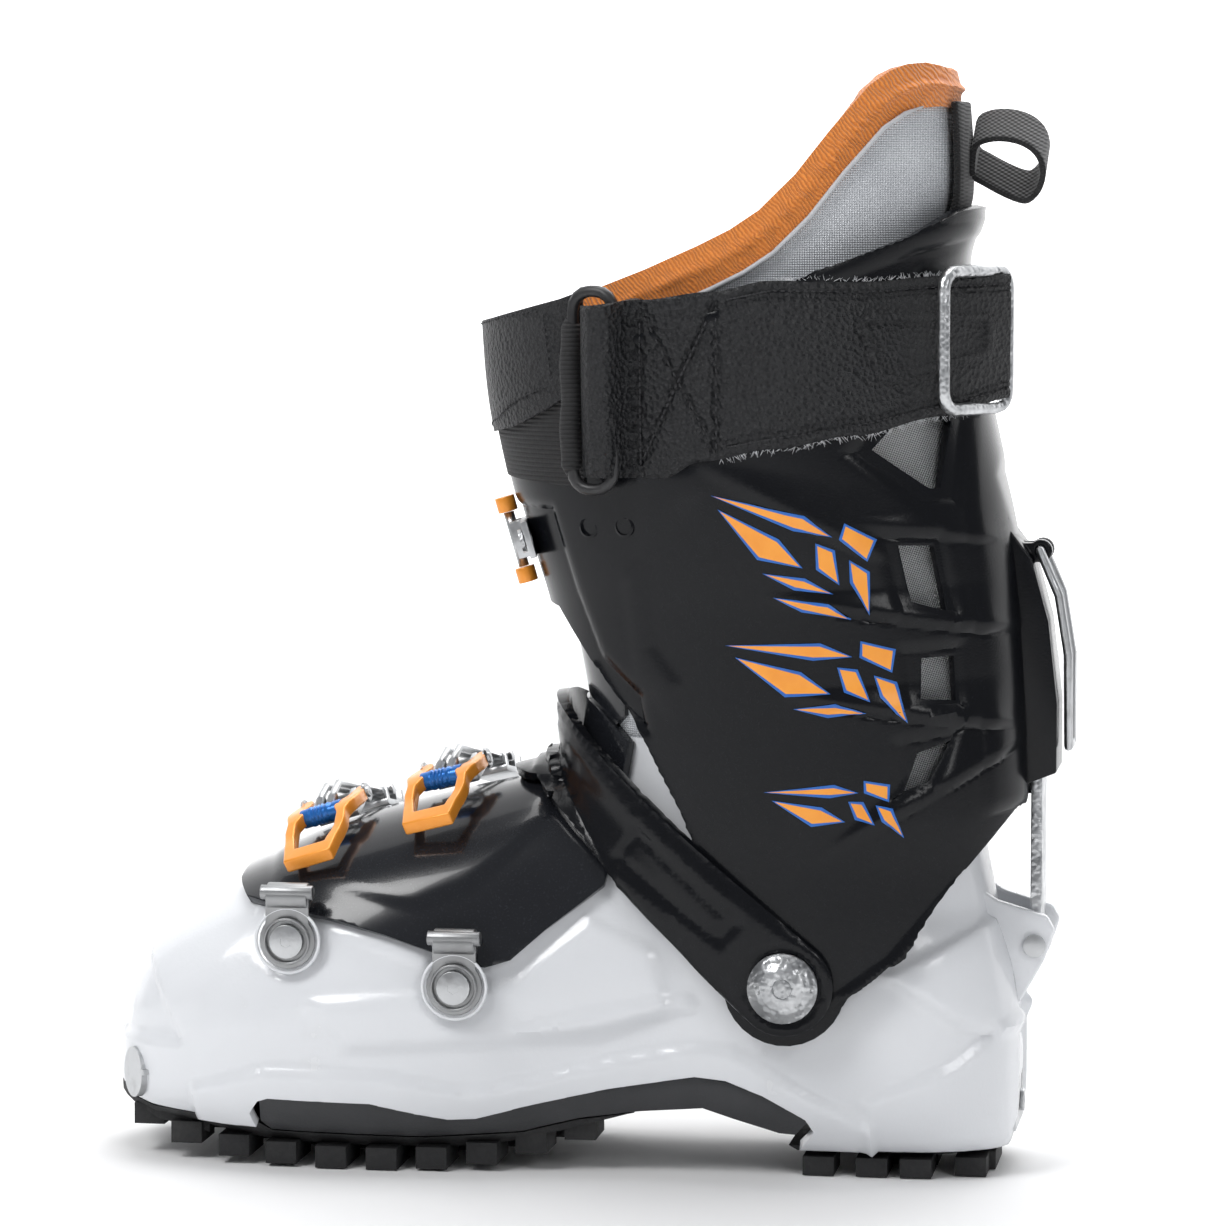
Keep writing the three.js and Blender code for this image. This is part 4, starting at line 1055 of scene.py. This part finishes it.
mesh_silver = finish_of("vent_mesh_silver", vent_mesh, Metallic=0.5)
for number, vent in enumerate(VENTS):
    for side, sign in (("left", -1), ("right", 1)):
        low_x, high_x = min(p[0] for p in vent) - 2.5, max(p[0] for p in vent) + 2.5
        low_z, high_z = min(p[1] for p in vent) - 2.5, max(p[1] for p in vent) + 2.5
        bm = bmesh.new()
        bmesh.ops.create_grid(bm, x_segments=10, y_segments=10, size=1)
        for v in bm.verts:
            x = low_x + (v.co.x + 1) / 2 * (high_x - low_x)
            z = low_z + (v.co.y + 1) / 2 * (high_z - low_z)
            v.co = leg_side(CUFF, x, z, -3.9, sign) * MM
        bmesh.ops.recalc_face_normals(bm, faces=bm.faces)
        gauze = piece(f"vent_mesh_{number + 1}_{side}", bm, mesh_silver)
        walled(gauze, 0.5, offset=0)
        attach(gauze, "cuff")

# Printed trim: slim orange slivers edged in blue, in three fans between the louvres.
def ink(low, high):
    return lambda place: {
        "Base_Color": wear(place, low, high, 120, 0.6),
        "Roughness": 0.3 + place.noise(300, 3) * 0.12,
    }


ink_orange = finish_of("ink_orange", ink((0.93, 0.36, 0.045), (0.84, 0.28, 0.03)))
ink_blue = finish_of("ink_blue", ink((0.02, 0.14, 0.52), (0.015, 0.1, 0.4)))
SLIVERS = [  # corners as shares of a fan's length
    [(0, 0), (0.58, -0.06), (0.76, -0.17), (0.52, -0.16)],
    [(0.05, -0.08), (0.44, -0.22), (0.60, -0.38), (0.32, -0.36)],
    [(0.82, -0.08), (1.02, -0.16), (0.98, -0.30), (0.80, -0.18)],
    [(0.66, -0.22), (0.78, -0.25), (0.83, -0.46), (0.68, -0.38)],
    [(0.87, -0.30), (1.0, -0.36), (1.03, -0.62), (0.89, -0.44)],
    [(0.36, -0.44), (0.62, -0.44), (0.80, -0.52), (0.56, -0.52)],
    [(0.44, -0.58), (0.78, -0.58), (0.92, -0.66), (0.62, -0.65)],
]
FANS = [  # tip x, tip z, length, slant in degrees, slivers
    (-55, 218, 51, -6, 7), (-51, 171, 51, 8, 6), (-39, 125, 38, 13, 5),
]
for number, (tip_x, tip_z, length, slant, blades) in enumerate(FANS):
    lean = math.radians(slant)
    for side, sign in (("left", -1), ("right", 1)):
        bm = bmesh.new()
        for corners in SLIVERS[:blades]:
            spots = [(length * (s * math.cos(lean) - t * math.sin(lean)),
                      length * (s * math.sin(lean) + t * math.cos(lean))) for s, t in corners]
            face = bm.faces.new([bm.verts.new((tip_x + s, 0, tip_z + t)) for s, t in spots])
            face.normal_update()
            face.material_index = 0
            bmesh.ops.inset_individual(bm, faces=[face], thickness=1.05)
            face.material_index = 1
        bmesh.ops.triangulate(bm, faces=bm.faces[:])
        bmesh.ops.subdivide_edges(bm, edges=bm.edges[:], cuts=4, use_grid_fill=True)
        for v in bm.verts:
            v.co = on_cuff(v.co.x, v.co.z, 0.4, sign) * MM
        bmesh.ops.triangulate(bm, faces=bm.faces[:])
        bm.normal_update()
        flip = [f for f in bm.faces if f.normal.y * sign < 0]
        bmesh.ops.reverse_faces(bm, faces=flip)
        trimming = piece(f"cuff_trim_{number + 1}_{side}", bm, ink_blue, ink_orange)
        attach(trimming, "cuff")

# Spare screw holes beside the buckle plate, bushed in the cuff's satin black.
for number, (x, z) in enumerate(((-95, 206.9), (-83, 207.6))):
    centre = on_cuff(x, z, 0.1)
    bm = bmesh.new()
    bmesh.ops.create_circle(bm, cap_ends=True, segments=28, radius=3.4 * MM)
    bm.faces.ensure_lookup_table()
    face = bm.faces[0]
    bmesh.ops.inset_individual(bm, faces=[face], thickness=0.7 * MM, depth=0.35 * MM)
    bmesh.ops.inset_individual(bm, faces=[face], thickness=0.5 * MM, depth=-1.5 * MM)
    outward = Vector((-0.35, -0.93, 0)).normalized()
    if face.normal.z < 0:
        bmesh.ops.scale(bm, vec=(1, 1, -1), verts=bm.verts)
    bmesh.ops.rotate(bm, verts=bm.verts, cent=(0, 0, 0),
                     matrix=Vector((0, 0, 1)).rotation_difference(outward).to_matrix())
    bmesh.ops.translate(bm, verts=bm.verts, vec=centre * MM)
    bush = piece(f"spare_hole_{number + 1}", bm, cuff_black, edge=40)
    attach(bush, "cuff")

# ---------------------------------------------------------------- pivot rivets
# Zinc-plated rivets that join cuff, strap and shell: a broad dished head with a
# turned ring and a punched centre.
def zinc_look(place):
    dimple = place.node("ShaderNodeTexVoronoi", {"feature": "SMOOTH_F1"}, place, None, 620.0)
    spangle = place.noise(160, 4)
    return {
        "Base_Color": spangle.step(0.3, 0.75).mix_colour((0.42, 0.43, 0.44), (0.72, 0.73, 0.74)),
        "Roughness": 0.24 + spangle * 0.22,
        "Bump": (dimple, 0.0004),
    }


zinc = finish_of("zinc_plate", zinc_look, Metallic=1.0)
for side, sign in (("left", -1), ("right", 1)):
    low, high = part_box(f"pivot_rivet_{side}")
    face_y = (low.y if sign < 0 else high.y) / MM
    profile = [(11.0, 2.2), (11.0, 1.0), (10.2, 0.3), (8.9, 0.0), (8.2, 0.35), (7.6, 0.35),
               (6.9, -0.1), (4.2, -0.5), (3.2, -0.5), (2.9, 0.3), (1.4, 0.6), (0, 0.6)]
    bm = bmesh.new()
    verts = [bm.verts.new(Vector((PIVOT[0] + r, face_y - sign * h, PIVOT[1])) * MM)
             for r, h in profile]
    for a, b in zip(verts, verts[1:]):
        bm.edges.new((a, b))
    bmesh.ops.spin(bm, geom=bm.verts[:] + bm.edges[:], axis=(0, 1, 0), angle=math.tau, steps=56,
                   cent=Vector((PIVOT[0], 0, PIVOT[1])) * MM, use_merge=True)
    bmesh.ops.remove_doubles(bm, verts=bm.verts, dist=1e-6)
    bmesh.ops.holes_fill(bm, edges=[e for e in bm.edges if e.is_boundary], sides=0)
    bmesh.ops.recalc_face_normals(bm, faces=bm.faces)
    head = piece(f"pivot_head_{side}", bm, zinc, edge=30)
    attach(head, "shell")
    hardware(f"pivot_rivet_{side}", "shell", zinc, 0)

# ---------------------------------------------------------------- ankle strap
# Black moulded strap over the instep. It hangs on the left rivet, narrows across
# the front and meets the buckle anchor that hangs on the right rivet.
strap_form = fused("strap_form", [
    wrapped(96, 110, lambda turn, t: foot_point(turn, -254.5 + 284.5 * t, 5.3)),
    wrapped(96, 60, lambda turn, t: leg_point(ANKLE, turn, 46 + 122 * t, 5.3)),
    wrapped(120, 80, lambda turn, t: leg_point(CUFF, turn, 38 + 132 * t, 1.8)),
], 1.8, 7)
strap_mesh = strap_form.data.copy()
bpy.data.objects.remove(strap_form)
ROUND = [(PIVOT[0] + 15.4 * math.cos(math.radians(a)), PIVOT[1] + 15.4 * math.sin(math.radians(a)))
         for a in range(-132, 49, 10)]
LEFT_BAND = [*ROUND, (-60, 107), (-84, 128), (-104, 147), (-109, 151.5), (-116, 153.5), (-150, 153.5),
             (-150, 126), (-116, 121), (-110.6, 116.5), (-78.8, 86.3)]
RIGHT_BAND = [(-150, 153.5), (-113, 153.5), (-108, 150.5), (-88, 132), (-104, 111), (-110.6, 116.5),
              (-116, 121), (-150, 126)]
ANCHOR = [*ROUND, (-60, 107), (-77, 121), (-88, 107), (-78.8, 86.3)]
for name, outline, sign, others in (
    ("ankle_strap", LEFT_BAND, -1, RIGHT_BAND), ("ankle_anchor", ANCHOR, 1, None),
):
    bm = bmesh.new()
    bm.from_mesh(strap_mesh)
    trim(bm, outline, side=lambda p: p.y * sign > -1)
    if others:
        trim(bm, others, side=lambda p: p.y >= -1)
    else:
        bmesh.ops.delete(bm, context="FACES", geom=[
            f for f in bm.faces if f.calc_center_median().y * sign < 0])
    bm.normal_update()
    for v in bm.verts:
        v.co += v.normal * 3.4 * MM
    # two steps along the upper edge, a sunk wedge beside the rivet, a sunk ring and a pad
    pressed(bm, [
        (LEFT_BAND[:19] + [(-60, 103), (-84, 124), (-104, 142.5), (-112, 148), (-150, 148),
                           (-150, 126), (-116, 121), (-110.6, 116.5), (-78.8, 86.3)], 0.7, 0.9),
        (LEFT_BAND[:19] + [(-60, 99.5), (-84, 120.5), (-104, 138.5), (-112, 143), (-150, 143),
                           (-150, 126), (-116, 121), (-110.6, 116.5), (-78.8, 86.3)], 0.5, 0.9),
        ([(-88, 101), (-52, 76), (-46, 84), (-55, 92), (-80, 113)], -0.9, 1.0),
        ([(-84, 102.5), (-55, 81), (-51, 84), (-58, 90.5), (-80, 109)], 0.5, 1.2),
        ([(PIVOT[0] + 12.6 * math.cos(a / 3), PIVOT[1] + 12.6 * math.sin(a / 3))
          for a in range(19)], -0.8, 0.9),
        ([(-120, 134), (-112, 134), (-105, 128), (-110, 122), (-118, 125)], 1.4, 2.0),
    ], side=lambda p: p.y * sign > 0)
    band = piece(f"{name}_moulding", bm, cuff_black)
    walled(band, 3.2, 0.7)
    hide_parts(name)
    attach(band, "shell")

# ---------------------------------------------------------------- buckles
# Forged levers anodised orange, each swinging on a riveted base. A threaded wire
# bail with a blue adjuster reaches from the lever to a toothed ladder.
def anodised(low, high):
    def look(place):
        brushed = place.noise(420, 4, 0.6)
        chips = place.noise(75, 5, 0.7).step(0.64, 0.72)
        return {
            "Base_Color": (brushed * 0.6 + chips * 0.15).mix_colour(low, high),
            "Roughness": 0.26 + brushed * 0.16,
            "Bump": (brushed, 0.00008),
        }
    return look


orange_metal = finish_of("orange_anodised", anodised((0.88, 0.29, 0.02), (0.98, 0.42, 0.07)),
                         Metallic=0.25, Coat_Weight=0.3, Coat_Roughness=0.15)
blue_metal = finish_of("blue_anodised", anodised((0.01, 0.12, 0.45), (0.03, 0.24, 0.68)),
                       Metallic=0.5, Coat_Weight=0.3, Coat_Roughness=0.12)
SEATS = {  # origin in mm, then the directions along the hinge, across it, and outwards
    "toe": ((-185.4, -6, 113.5), (0.9363, -0.1694, 0.3076), (0.0501, 0.9314, 0.3605),
            (-0.3476, -0.3222, 0.8805)),
    "instep": ((-145.5, -6, 126), (0.9495, -0.1809, 0.2562), (0.0800, 0.9296, 0.3598),
               (-0.3033, -0.3212, 0.8971)),
    "ankle": ((-66.5, 58.4, 94.8), (-0.6723, 0, -0.7403), (-0.7379, -0.0798, 0.6701),
              (-0.0591, 0.9968, 0.0536)),
    "cuff": ((-115.995, 33.360, 200.490), (0.2053, -0.1456, -0.9678), (-0.5786, -0.8156, 0),
             (-0.7894, 0.5599, -0.2517)),
}


def height_on(line, x):
    for (x0, z0), (x1, z1) in zip(line, line[1:]):
        if x <= x1:
            return z0 + (z1 - z0) * eased((x - x0) / (x1 - x0))
    return line[-1][1]


def seated(seat, u, v, w):
    origin, along, across, out = (Vector(part) for part in seat)
    return origin + along * u + across * v + out * w


def turned(profile, seat, at, along, steps=28):
    """A turned part: profile is (distance along, radius), on an axis in a buckle's frame."""
    origin, one, two, three = (Vector(part) for part in seat)
    axis = one * along[0] + two * along[1] + three * along[2]
    start = seated(seat, *at)
    aside = axis.orthogonal().normalized()
    bm = bmesh.new()
    verts = [bm.verts.new((start + axis * run + aside * reach) * MM) for run, reach in profile]
    for a, b in zip(verts, verts[1:]):
        bm.edges.new((a, b))
    bmesh.ops.spin(bm, geom=bm.verts[:] + bm.edges[:], cent=start * MM, axis=axis,
                   angle=math.tau, steps=steps, use_merge=True)
    bmesh.ops.remove_doubles(bm, verts=bm.verts, dist=1e-6)
    bmesh.ops.holes_fill(bm, edges=[e for e in bm.edges if e.is_boundary], sides=0)
    bmesh.ops.recalc_face_normals(bm, faces=bm.faces)
    return bm


LEVER_PLAN = [  # (along the hinge, share of the length) round a lever's open frame
    (10.6, 0.05), (11.6, -0.02), (12.4, -0.20), (12.2, -0.36), (10.6, -0.50), (10.9, -0.62),
    (9.4, -0.86), (8.4, -1.04), (-8.4, -1.04), (-9.4, -0.86), (-10.9, -0.62), (-10.6, -0.50),
    (-12.2, -0.36), (-12.4, -0.20), (-11.6, -0.02), (-10.6, 0.05), (-8.2, 0.05), (-7.4, -0.06),
    (-7.6, -0.24), (-6.0, -0.32), (-5.6, -0.42), (-7.4, -0.52), (-7.2, -0.68), (-5.4, -0.88),
    (5.4, -0.88), (7.2, -0.68), (7.4, -0.52), (5.6, -0.42), (6.0, -0.32), (7.6, -0.24), (7.4, -0.06),
    (8.2, 0.05),
]
LEVER_RUN = {"toe": (37, 1), "instep": (37, 1), "ankle": (29, 0), "cuff": (34, 6)}
for which, seat in SEATS.items():
    rides = "cuff" if which == "cuff" else "shell"
    hardware(f"{which}_buckle_base", rides, steel, 0.3)
    length, drop = LEVER_RUN[which]
    bend = [(-1.04, -drop), (-0.78, 1.4 - drop), (-0.43, 3.2), (0.06, 0)]
    bm = bmesh.new()
    face = bm.faces.new([bm.verts.new((u, share * length, -2.3)) for u, share in LEVER_PLAN])
    grown = bmesh.ops.extrude_face_region(bm, geom=[face])
    bmesh.ops.translate(bm, vec=(0, 0, 4.4),
                        verts=[g for g in grown["geom"] if isinstance(g, bmesh.types.BMVert)])
    bmesh.ops.recalc_face_normals(bm, faces=bm.faces)
    bmesh.ops.bevel(bm, geom=[e for e in bm.edges if e.calc_face_angle(0) > 0.35], offset=0.75,
                    affect="EDGES", segments=3, profile=0.5, material=-1, clamp_overlap=True)
    for cut in range(1, 12):
        bmesh.ops.bisect_plane(bm, geom=bm.verts[:] + bm.edges[:] + bm.faces[:], dist=1e-4,
                               plane_co=(0, -length * cut / 12, 0), plane_no=(0, 1, 0))
    for v in bm.verts:
        v.co = seated(seat, v.co.x, v.co.y, v.co.z + height_on(bend, v.co.y / length)) * MM
    bmesh.ops.triangulate(bm, faces=[f for f in bm.faces if len(f.verts) > 4])
    bmesh.ops.recalc_face_normals(bm, faces=bm.faces)
    lever = piece(f"{which}_lever_forged", bm, orange_metal, edge=40)
    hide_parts(f"{which}_lever")
    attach(lever, f"{which}_lever")
    hardware(f"{which}_bail", f"{which}_bail", steel, 0)
    hardware(f"{which}_ladder", rides, steel, 0.25)
    hardware(f"{which}_ladder_rivet", rides, zinc, 0.5)
    hardware(f"{which}_adjuster_cap", f"{which}_bail", blue_metal, 0.6)
    # ridged barrel across the lever's opening, and the bail's two threads under it
    barrel = [(0, 0), (0, 2.6), (0.8, 3.3)]
    for ridge in range(4):
        barrel += [(1.6 + ridge * 1.3, 3.3), (2.0 + ridge * 1.3, 2.9)]
    barrel += [(7.4, 3.3), (8.6, 2.7), (9.3, 1.6), (9.6, 0)]
    bm = turned(barrel, seat, (-4.8, -13, 2.4), (1, 0, 0))
    cap = piece(f"{which}_adjuster_barrel", bm, blue_metal, edge=40)
    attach(cap, f"{which}_bail")
    thread = [(0, 0), (0, 1.5)]
    for turn in range(9):
        thread += [(0.5 + turn * 0.8, 1.75), (0.9 + turn * 0.8, 1.35)]
    thread += [(8.0, 1.5), (8.0, 0)]
    for lane in (-2.2, 2.2):
        bm = turned(thread, seat, (lane, -12.5, 2.5), (0, 0.98, 0.2), 16)
        screw = piece(f"{which}_thread_{'a' if lane < 0 else 'b'}", bm, steel, edge=50)
        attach(screw, f"{which}_bail")
    for number, spot in enumerate((-10.9, 10.9)):
        sign = math.copysign(1, spot)
        bm = turned([(0, 0), (0, 3.4), (0.5, 3.4), (0.9, 2.9), (0.9, 1.9), (1.5, 1.5), (1.5, 0)],
                    seat, (spot, 0, 0), (sign, 0, 0))
        eyelet = piece(f"{which}_lever_eyelet_{number + 1}", bm, zinc, edge=40)
        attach(eyelet, f"{which}_lever")
for which in ("upper", "lower"):
    hardware(f"cuff_bail_cap_{which}", "cuff_bail", orange_metal, 0.8)

# ---------------------------------------------------------------- power strap
# Grained strap, its ends folded round the two rings and sewn, with an embossed pull
# patch. A stitched patch on elastic webbing crosses the shin.
def grained(place):
    cells = place.node("ShaderNodeTexVoronoi", {"feature": "F1"}, place, None, 620.0)
    pores = place.noise(2400, 2)
    cloud = place.noise(30, 4)
    height = cells * 0.8 + pores * 0.3
    return {
        "Base_Color": (cloud * 0.7).mix_colour((0.005, 0.0055, 0.0065), (0.018, 0.0185, 0.021)),
        "Roughness": 0.34 + cloud * 0.14 + pores * 0.06,
        "Bump": (height, 0.0016),
    }


grain_black = finish_of("strap_grain_black", grained, Specular_IOR_Level=0.4)
thread_black = finish_of(
    "sewing_thread",
    lambda place: {
        "Base_Color": wear(place, (0.018, 0.018, 0.02), (0.05, 0.05, 0.055), 400),
        "Roughness": 0.5 + place.noise(900, 2) * 0.2,
    },
)


def sewn(name, lines, material, body, pitch=2.6, long=1.9, thick=0.34):
    """Small raised stitches along lines of points in mm, all in one mesh."""
    bm = bmesh.new()
    for line in lines:
        path = [Vector(p) for p in line]
        for a, b in zip(path, path[1:]):
            count = max(1, round((b - a).length / pitch))
            for k in range(count):
                at = a.lerp(b, (k + 0.5) / count)
                made = bmesh.ops.create_icosphere(bm, subdivisions=1, radius=1)
                turn = (b - a).to_track_quat("X", "Z").to_matrix().to_4x4()
                matrix = Matrix.Translation(at * MM) @ turn
                size = Matrix.Diagonal((long / 2 * MM, thick * MM, thick * MM, 1))
                bmesh.ops.transform(bm, matrix=matrix @ size, verts=made["verts"])
    made = piece(name, bm, material)
    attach(made, body)
    return made


STRAP_TOP = [(-95, 276.6), (-76, 278.5), (-55, 281), (-36, 284.5), (-8, 284), (14, 285.5), (33, 286)]
STRAP_LOW = [(-95, 223.4), (-70, 223), (-58, 228.5), (-36, 232.5), (-10, 236.8), (14, 242), (33, 247)]


def strap_place(x, z, lift):
    """On the left strap, in mm: along the cuff, then straight to the rear ring."""
    fold = math.exp(-((x + 89.5) / 7.0) ** 4) * 9.6
    pucker = math.exp(-((x + 79) / 2.6) ** 2) * 0.55 * math.sin(z * 1.15 + 0.6 * math.sin(z))
    at = leg_side(CUFF, min(x, 6), z, 1.2 + lift + fold + pucker)
    if x > 6:
        t = (x - 6) / 27
        out = Vector((0.86, -0.5, 0)) * (lift + 2.6 * math.sin(math.pi * min(t, 1)) * 0.5)
        at = at.lerp(Vector((32.2, -15.6, z)), t) + out * t
    return at


def to_line(x, z, start, end):
    dx, dz = end[0] - start[0], end[1] - start[1]
    t = min(max(((x - start[0]) * dx + (z - start[1]) * dz) / (dx * dx + dz * dz), 0), 1)
    return math.hypot(x - start[0] - t * dx, z - start[1] - t * dz)


SEAMS = [((-77, 225), (-77, 276)), ((-53, 231), (-53, 278)), ((-76, 274), (-54, 233.5)),
         ((-76, 229.5), (-54, 276))]
bm = bmesh.new()
bmesh.ops.create_grid(bm, x_segments=200, y_segments=90, size=1)
PATCH = [(-9.6, 272.4), (-6, 274.4), (26, 273.6), (28.5, 271), (27.6, 262), (25, 259.6),
         (0, 252.6), (-3.6, 253.6), (-9, 270)]
PATCH_FIELD = [(-7.6, 271.6), (25.6, 271.4), (25.2, 262), (-1.6, 255.2)]
for v in bm.verts:
    x = -95 + (v.co.x + 1) / 2 * 128
    low, high = height_on(STRAP_LOW, x), height_on(STRAP_TOP, x)
    z = low + (v.co.y + 1) / 2 * (high - low)
    rise = 2.4
    edge = min(z - low, high - z)
    if x > -50:
        rise -= 0.55 * math.exp(-((edge - 3.4) / 0.55) ** 2) + 0.4 * math.exp(-((edge - 5.2) / 0.5) ** 2)
    rise -= 0.5 * eased(1 - edge / 1.2)
    rise += 0.8 * eased(to_edge(x, z, PATCH) / 1.0 + 0.5)
    rise -= 0.6 * eased(to_edge(x, z, PATCH_FIELD) / 0.8 + 0.5)
    if x < -48:
        rise += 0.9 * math.exp(-((x + 65) / 8) ** 2) * math.cos((z - 251) / 18)
        for seam in SEAMS:
            rise -= 1.0 * math.exp(-(to_line(x, z, *seam) / 1.25) ** 2)
    rise += 0.35 * noise.noise(Vector((x * 0.05, z * 0.06, 3)))
    v.co = strap_place(x, z, rise) * MM
bmesh.ops.recalc_face_normals(bm, faces=bm.faces)
strap = piece("power_strap_left_leather", bm, grain_black)
walled(strap, 2.2, 0.5)
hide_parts("power_strap_left")
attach(strap, "cuff")


def strap_line(points, lift=2.1, count=12):
    line = []
    for (x0, z0), (x1, z1) in zip(points, points[1:]):
        for k in range(count):
            t = k / count
            x, z = x0 + (x1 - x0) * t, z0 + (z1 - z0) * t
            extra = 0.9 * math.exp(-((x + 65) / 8) ** 2) * math.cos((z - 251) / 18) if x < -50 else 0
            line.append(strap_place(x, z, lift + extra))
    return line


sewn("power_strap_stitches", [
    strap_line([(-77, 227), (-77, 275.5)]),
    strap_line([(-53, 231.5), (-53, 278)]),
    strap_line([(-76, 274), (-54, 233.5)]),
    strap_line([(-76, 229.5), (-54, 276)]),
    strap_line([(-50, 233), (-36, 235.6), (-10, 239.8), (12, 244.8), (30, 249.5)], 2.0),
    strap_line([(-50, 278.5), (-36, 281.4), (-8, 281), (14, 282.3), (30, 282.8)], 2.0),
], thread_black, "cuff")

# Hook-tape fluff escaping along the strap's edges.
random.seed(7)
fibre_white = finish_of(
    "hook_tape_fluff",
    lambda place: {"Base_Color": wear(place, (0.75, 0.76, 0.78), (0.55, 0.56, 0.58), 500)},
    Roughness=0.8,
)
bm = bmesh.new()
for k in range(420):
    upper = k % 2
    x = random.uniform(-34, 30) if upper else random.uniform(-52, 22)
    z = height_on(STRAP_TOP if upper else STRAP_LOW, x) + (0.1 if upper else -0.1)
    at = strap_place(x, z, random.uniform(0.4, 1.8))
    lean = Vector((random.uniform(-1, 1), random.uniform(-0.8, 0.1), random.uniform(0.3, 1)))
    if not upper:
        lean.z = -lean.z
    made = bmesh.ops.create_cone(bm, segments=3, radius1=0.11, radius2=0.03, depth=1,
                                 cap_ends=False)
    turn = lean.to_track_quat("Z", "Y").to_matrix().to_4x4()
    run = random.uniform(1.0, 2.6)
    bmesh.ops.transform(bm, verts=made["verts"], matrix=Matrix.Translation(
        (at + lean.normalized() * run / 2) * MM) @ turn @ Matrix.Diagonal((MM, MM, run * MM, 1)))
fluff = piece("hook_tape_fluff", bm, fibre_white)
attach(fluff, "cuff")

# The band across the shin and round the far side.
def elastic_look(place):
    ribs = (place.part(2) * 4400).math("SINE")
    twill = place.noise(900, 2)
    return {
        "Base_Color": (ribs * 0.3 + twill).step(0.1, 0.9).mix_colour(
            (0.004, 0.004, 0.0045), (0.018, 0.018, 0.019)),
        "Roughness": 0.68 + twill * 0.2,
        "Bump": (ribs * 0.7 + twill * 0.5, 0.0003),
    }


elastic = finish_of("elastic_webbing", elastic_look, Sheen_Weight=0.08)
for name, outline, grow, wall_mm, material, slot, keep_side in (
    ("power_strap_front_elastic", [(-150, 262), (-96, 281), (-96, 219.5), (-150, 223)], 3.2, 1.6,
     elastic, "webbing", lambda p: True),
    ("power_strap_front_patch", [(-150, 267), (-128, 272), (-99, 279.5), (-98, 250), (-108, 244),
                                 (-120, 238), (-150, 230)], 4.6, 1.3, grain_black, "strap_leather",
     lambda p: p.y < 34),
    ("power_strap_right_leather", [(-93, 279), (-60, 281), (-10, 285), (40, 286.5), (40, 243),
                                   (-10, 236), (-52, 230), (-93, 221)], 3.6, 2.2, grain_black,
     "strap_leather", lambda p: p.y > 8),
):
    bm = wrapped(170, 60, lambda turn, t: leg_point(CUFF, turn, 214 + 76 * t, grow), caps=False)
    trim(bm, outline)
    bmesh.ops.delete(bm, context="FACES", geom=[
        f for f in bm.faces if not keep_side(f.calc_center_median() / MM)])
    made = piece(name, bm, material)
    walled(made, wall_mm, 0.45)
    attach(made, "cuff")
    if name == "power_strap_front_elastic":
        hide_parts("power_strap_front")
    if name == "power_strap_right_leather":
        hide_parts("power_strap_right")


def front_line(points, grow):
    """Points on the shin band from (y, z) pairs, in mm."""
    line = []
    for (y0, z0), (y1, z1) in zip(points, points[1:]):
        for k in range(10):
            y, z = y0 + (y1 - y0) * k / 10, z0 + (z1 - z0) * k / 10
            _, front, rear, half = row_at(CUFF, z)
            reach = (rear - front) / 2 + grow
            t = min(abs(y) / (half + grow), 1)
            line.append(Vector(((front + rear) / 2 - reach * (1 - t ** 2.35) ** (1 / 2.35), y, z)))
    return line


sewn("front_patch_stitches", [
    front_line([(-52, 274.5), (-30, 270.5), (0, 268.5), (30, 268)], 4.8),
    front_line([(-52, 251), (-44, 247), (-30, 240), (0, 235), (30, 235)], 4.8),
    front_line([(-53, 274), (-53, 252)], 4.8),
    front_line([(31, 267), (31, 236)], 4.8),
], thread_black, "cuff", 2.2, 1.5, 0.26)
black_wire = finish_of(
    "black_wire",
    lambda place: {
        "Base_Color": wear(place, (0.014, 0.014, 0.015), (0.05, 0.05, 0.052), 90),
        "Roughness": 0.35 + place.noise(300, 3) * 0.15,
    },
)
hardware("strap_ring_front", "cuff", black_wire, 0)
tube("power_strap_elastic_fold", [(-99.2 + 0.3 * math.sin(k), -57.6, 223.5 + k * 3.1)
                                  for k in range(17)], 3.3, elastic, "cuff", 14)

hardware("strap_ring_rear", "rear_ring", zinc, 0)

# ---------------------------------------------------------------- rear mechanism
# A plated lean bar is pinned in the heel's fork and slides in a black housing on the
# cuff. A sprung wire lever on the housing locks it for skiing.
hardware("walk_housing", "cuff", cuff_black, 0.8, 25, 3)
hardware("lean_bar", "lean_bar", zinc, 0.5)
hardware("lean_bar_pin", "shell", steel, 0.3)
hardware("mode_lever", "mode_lever", steel, 0)
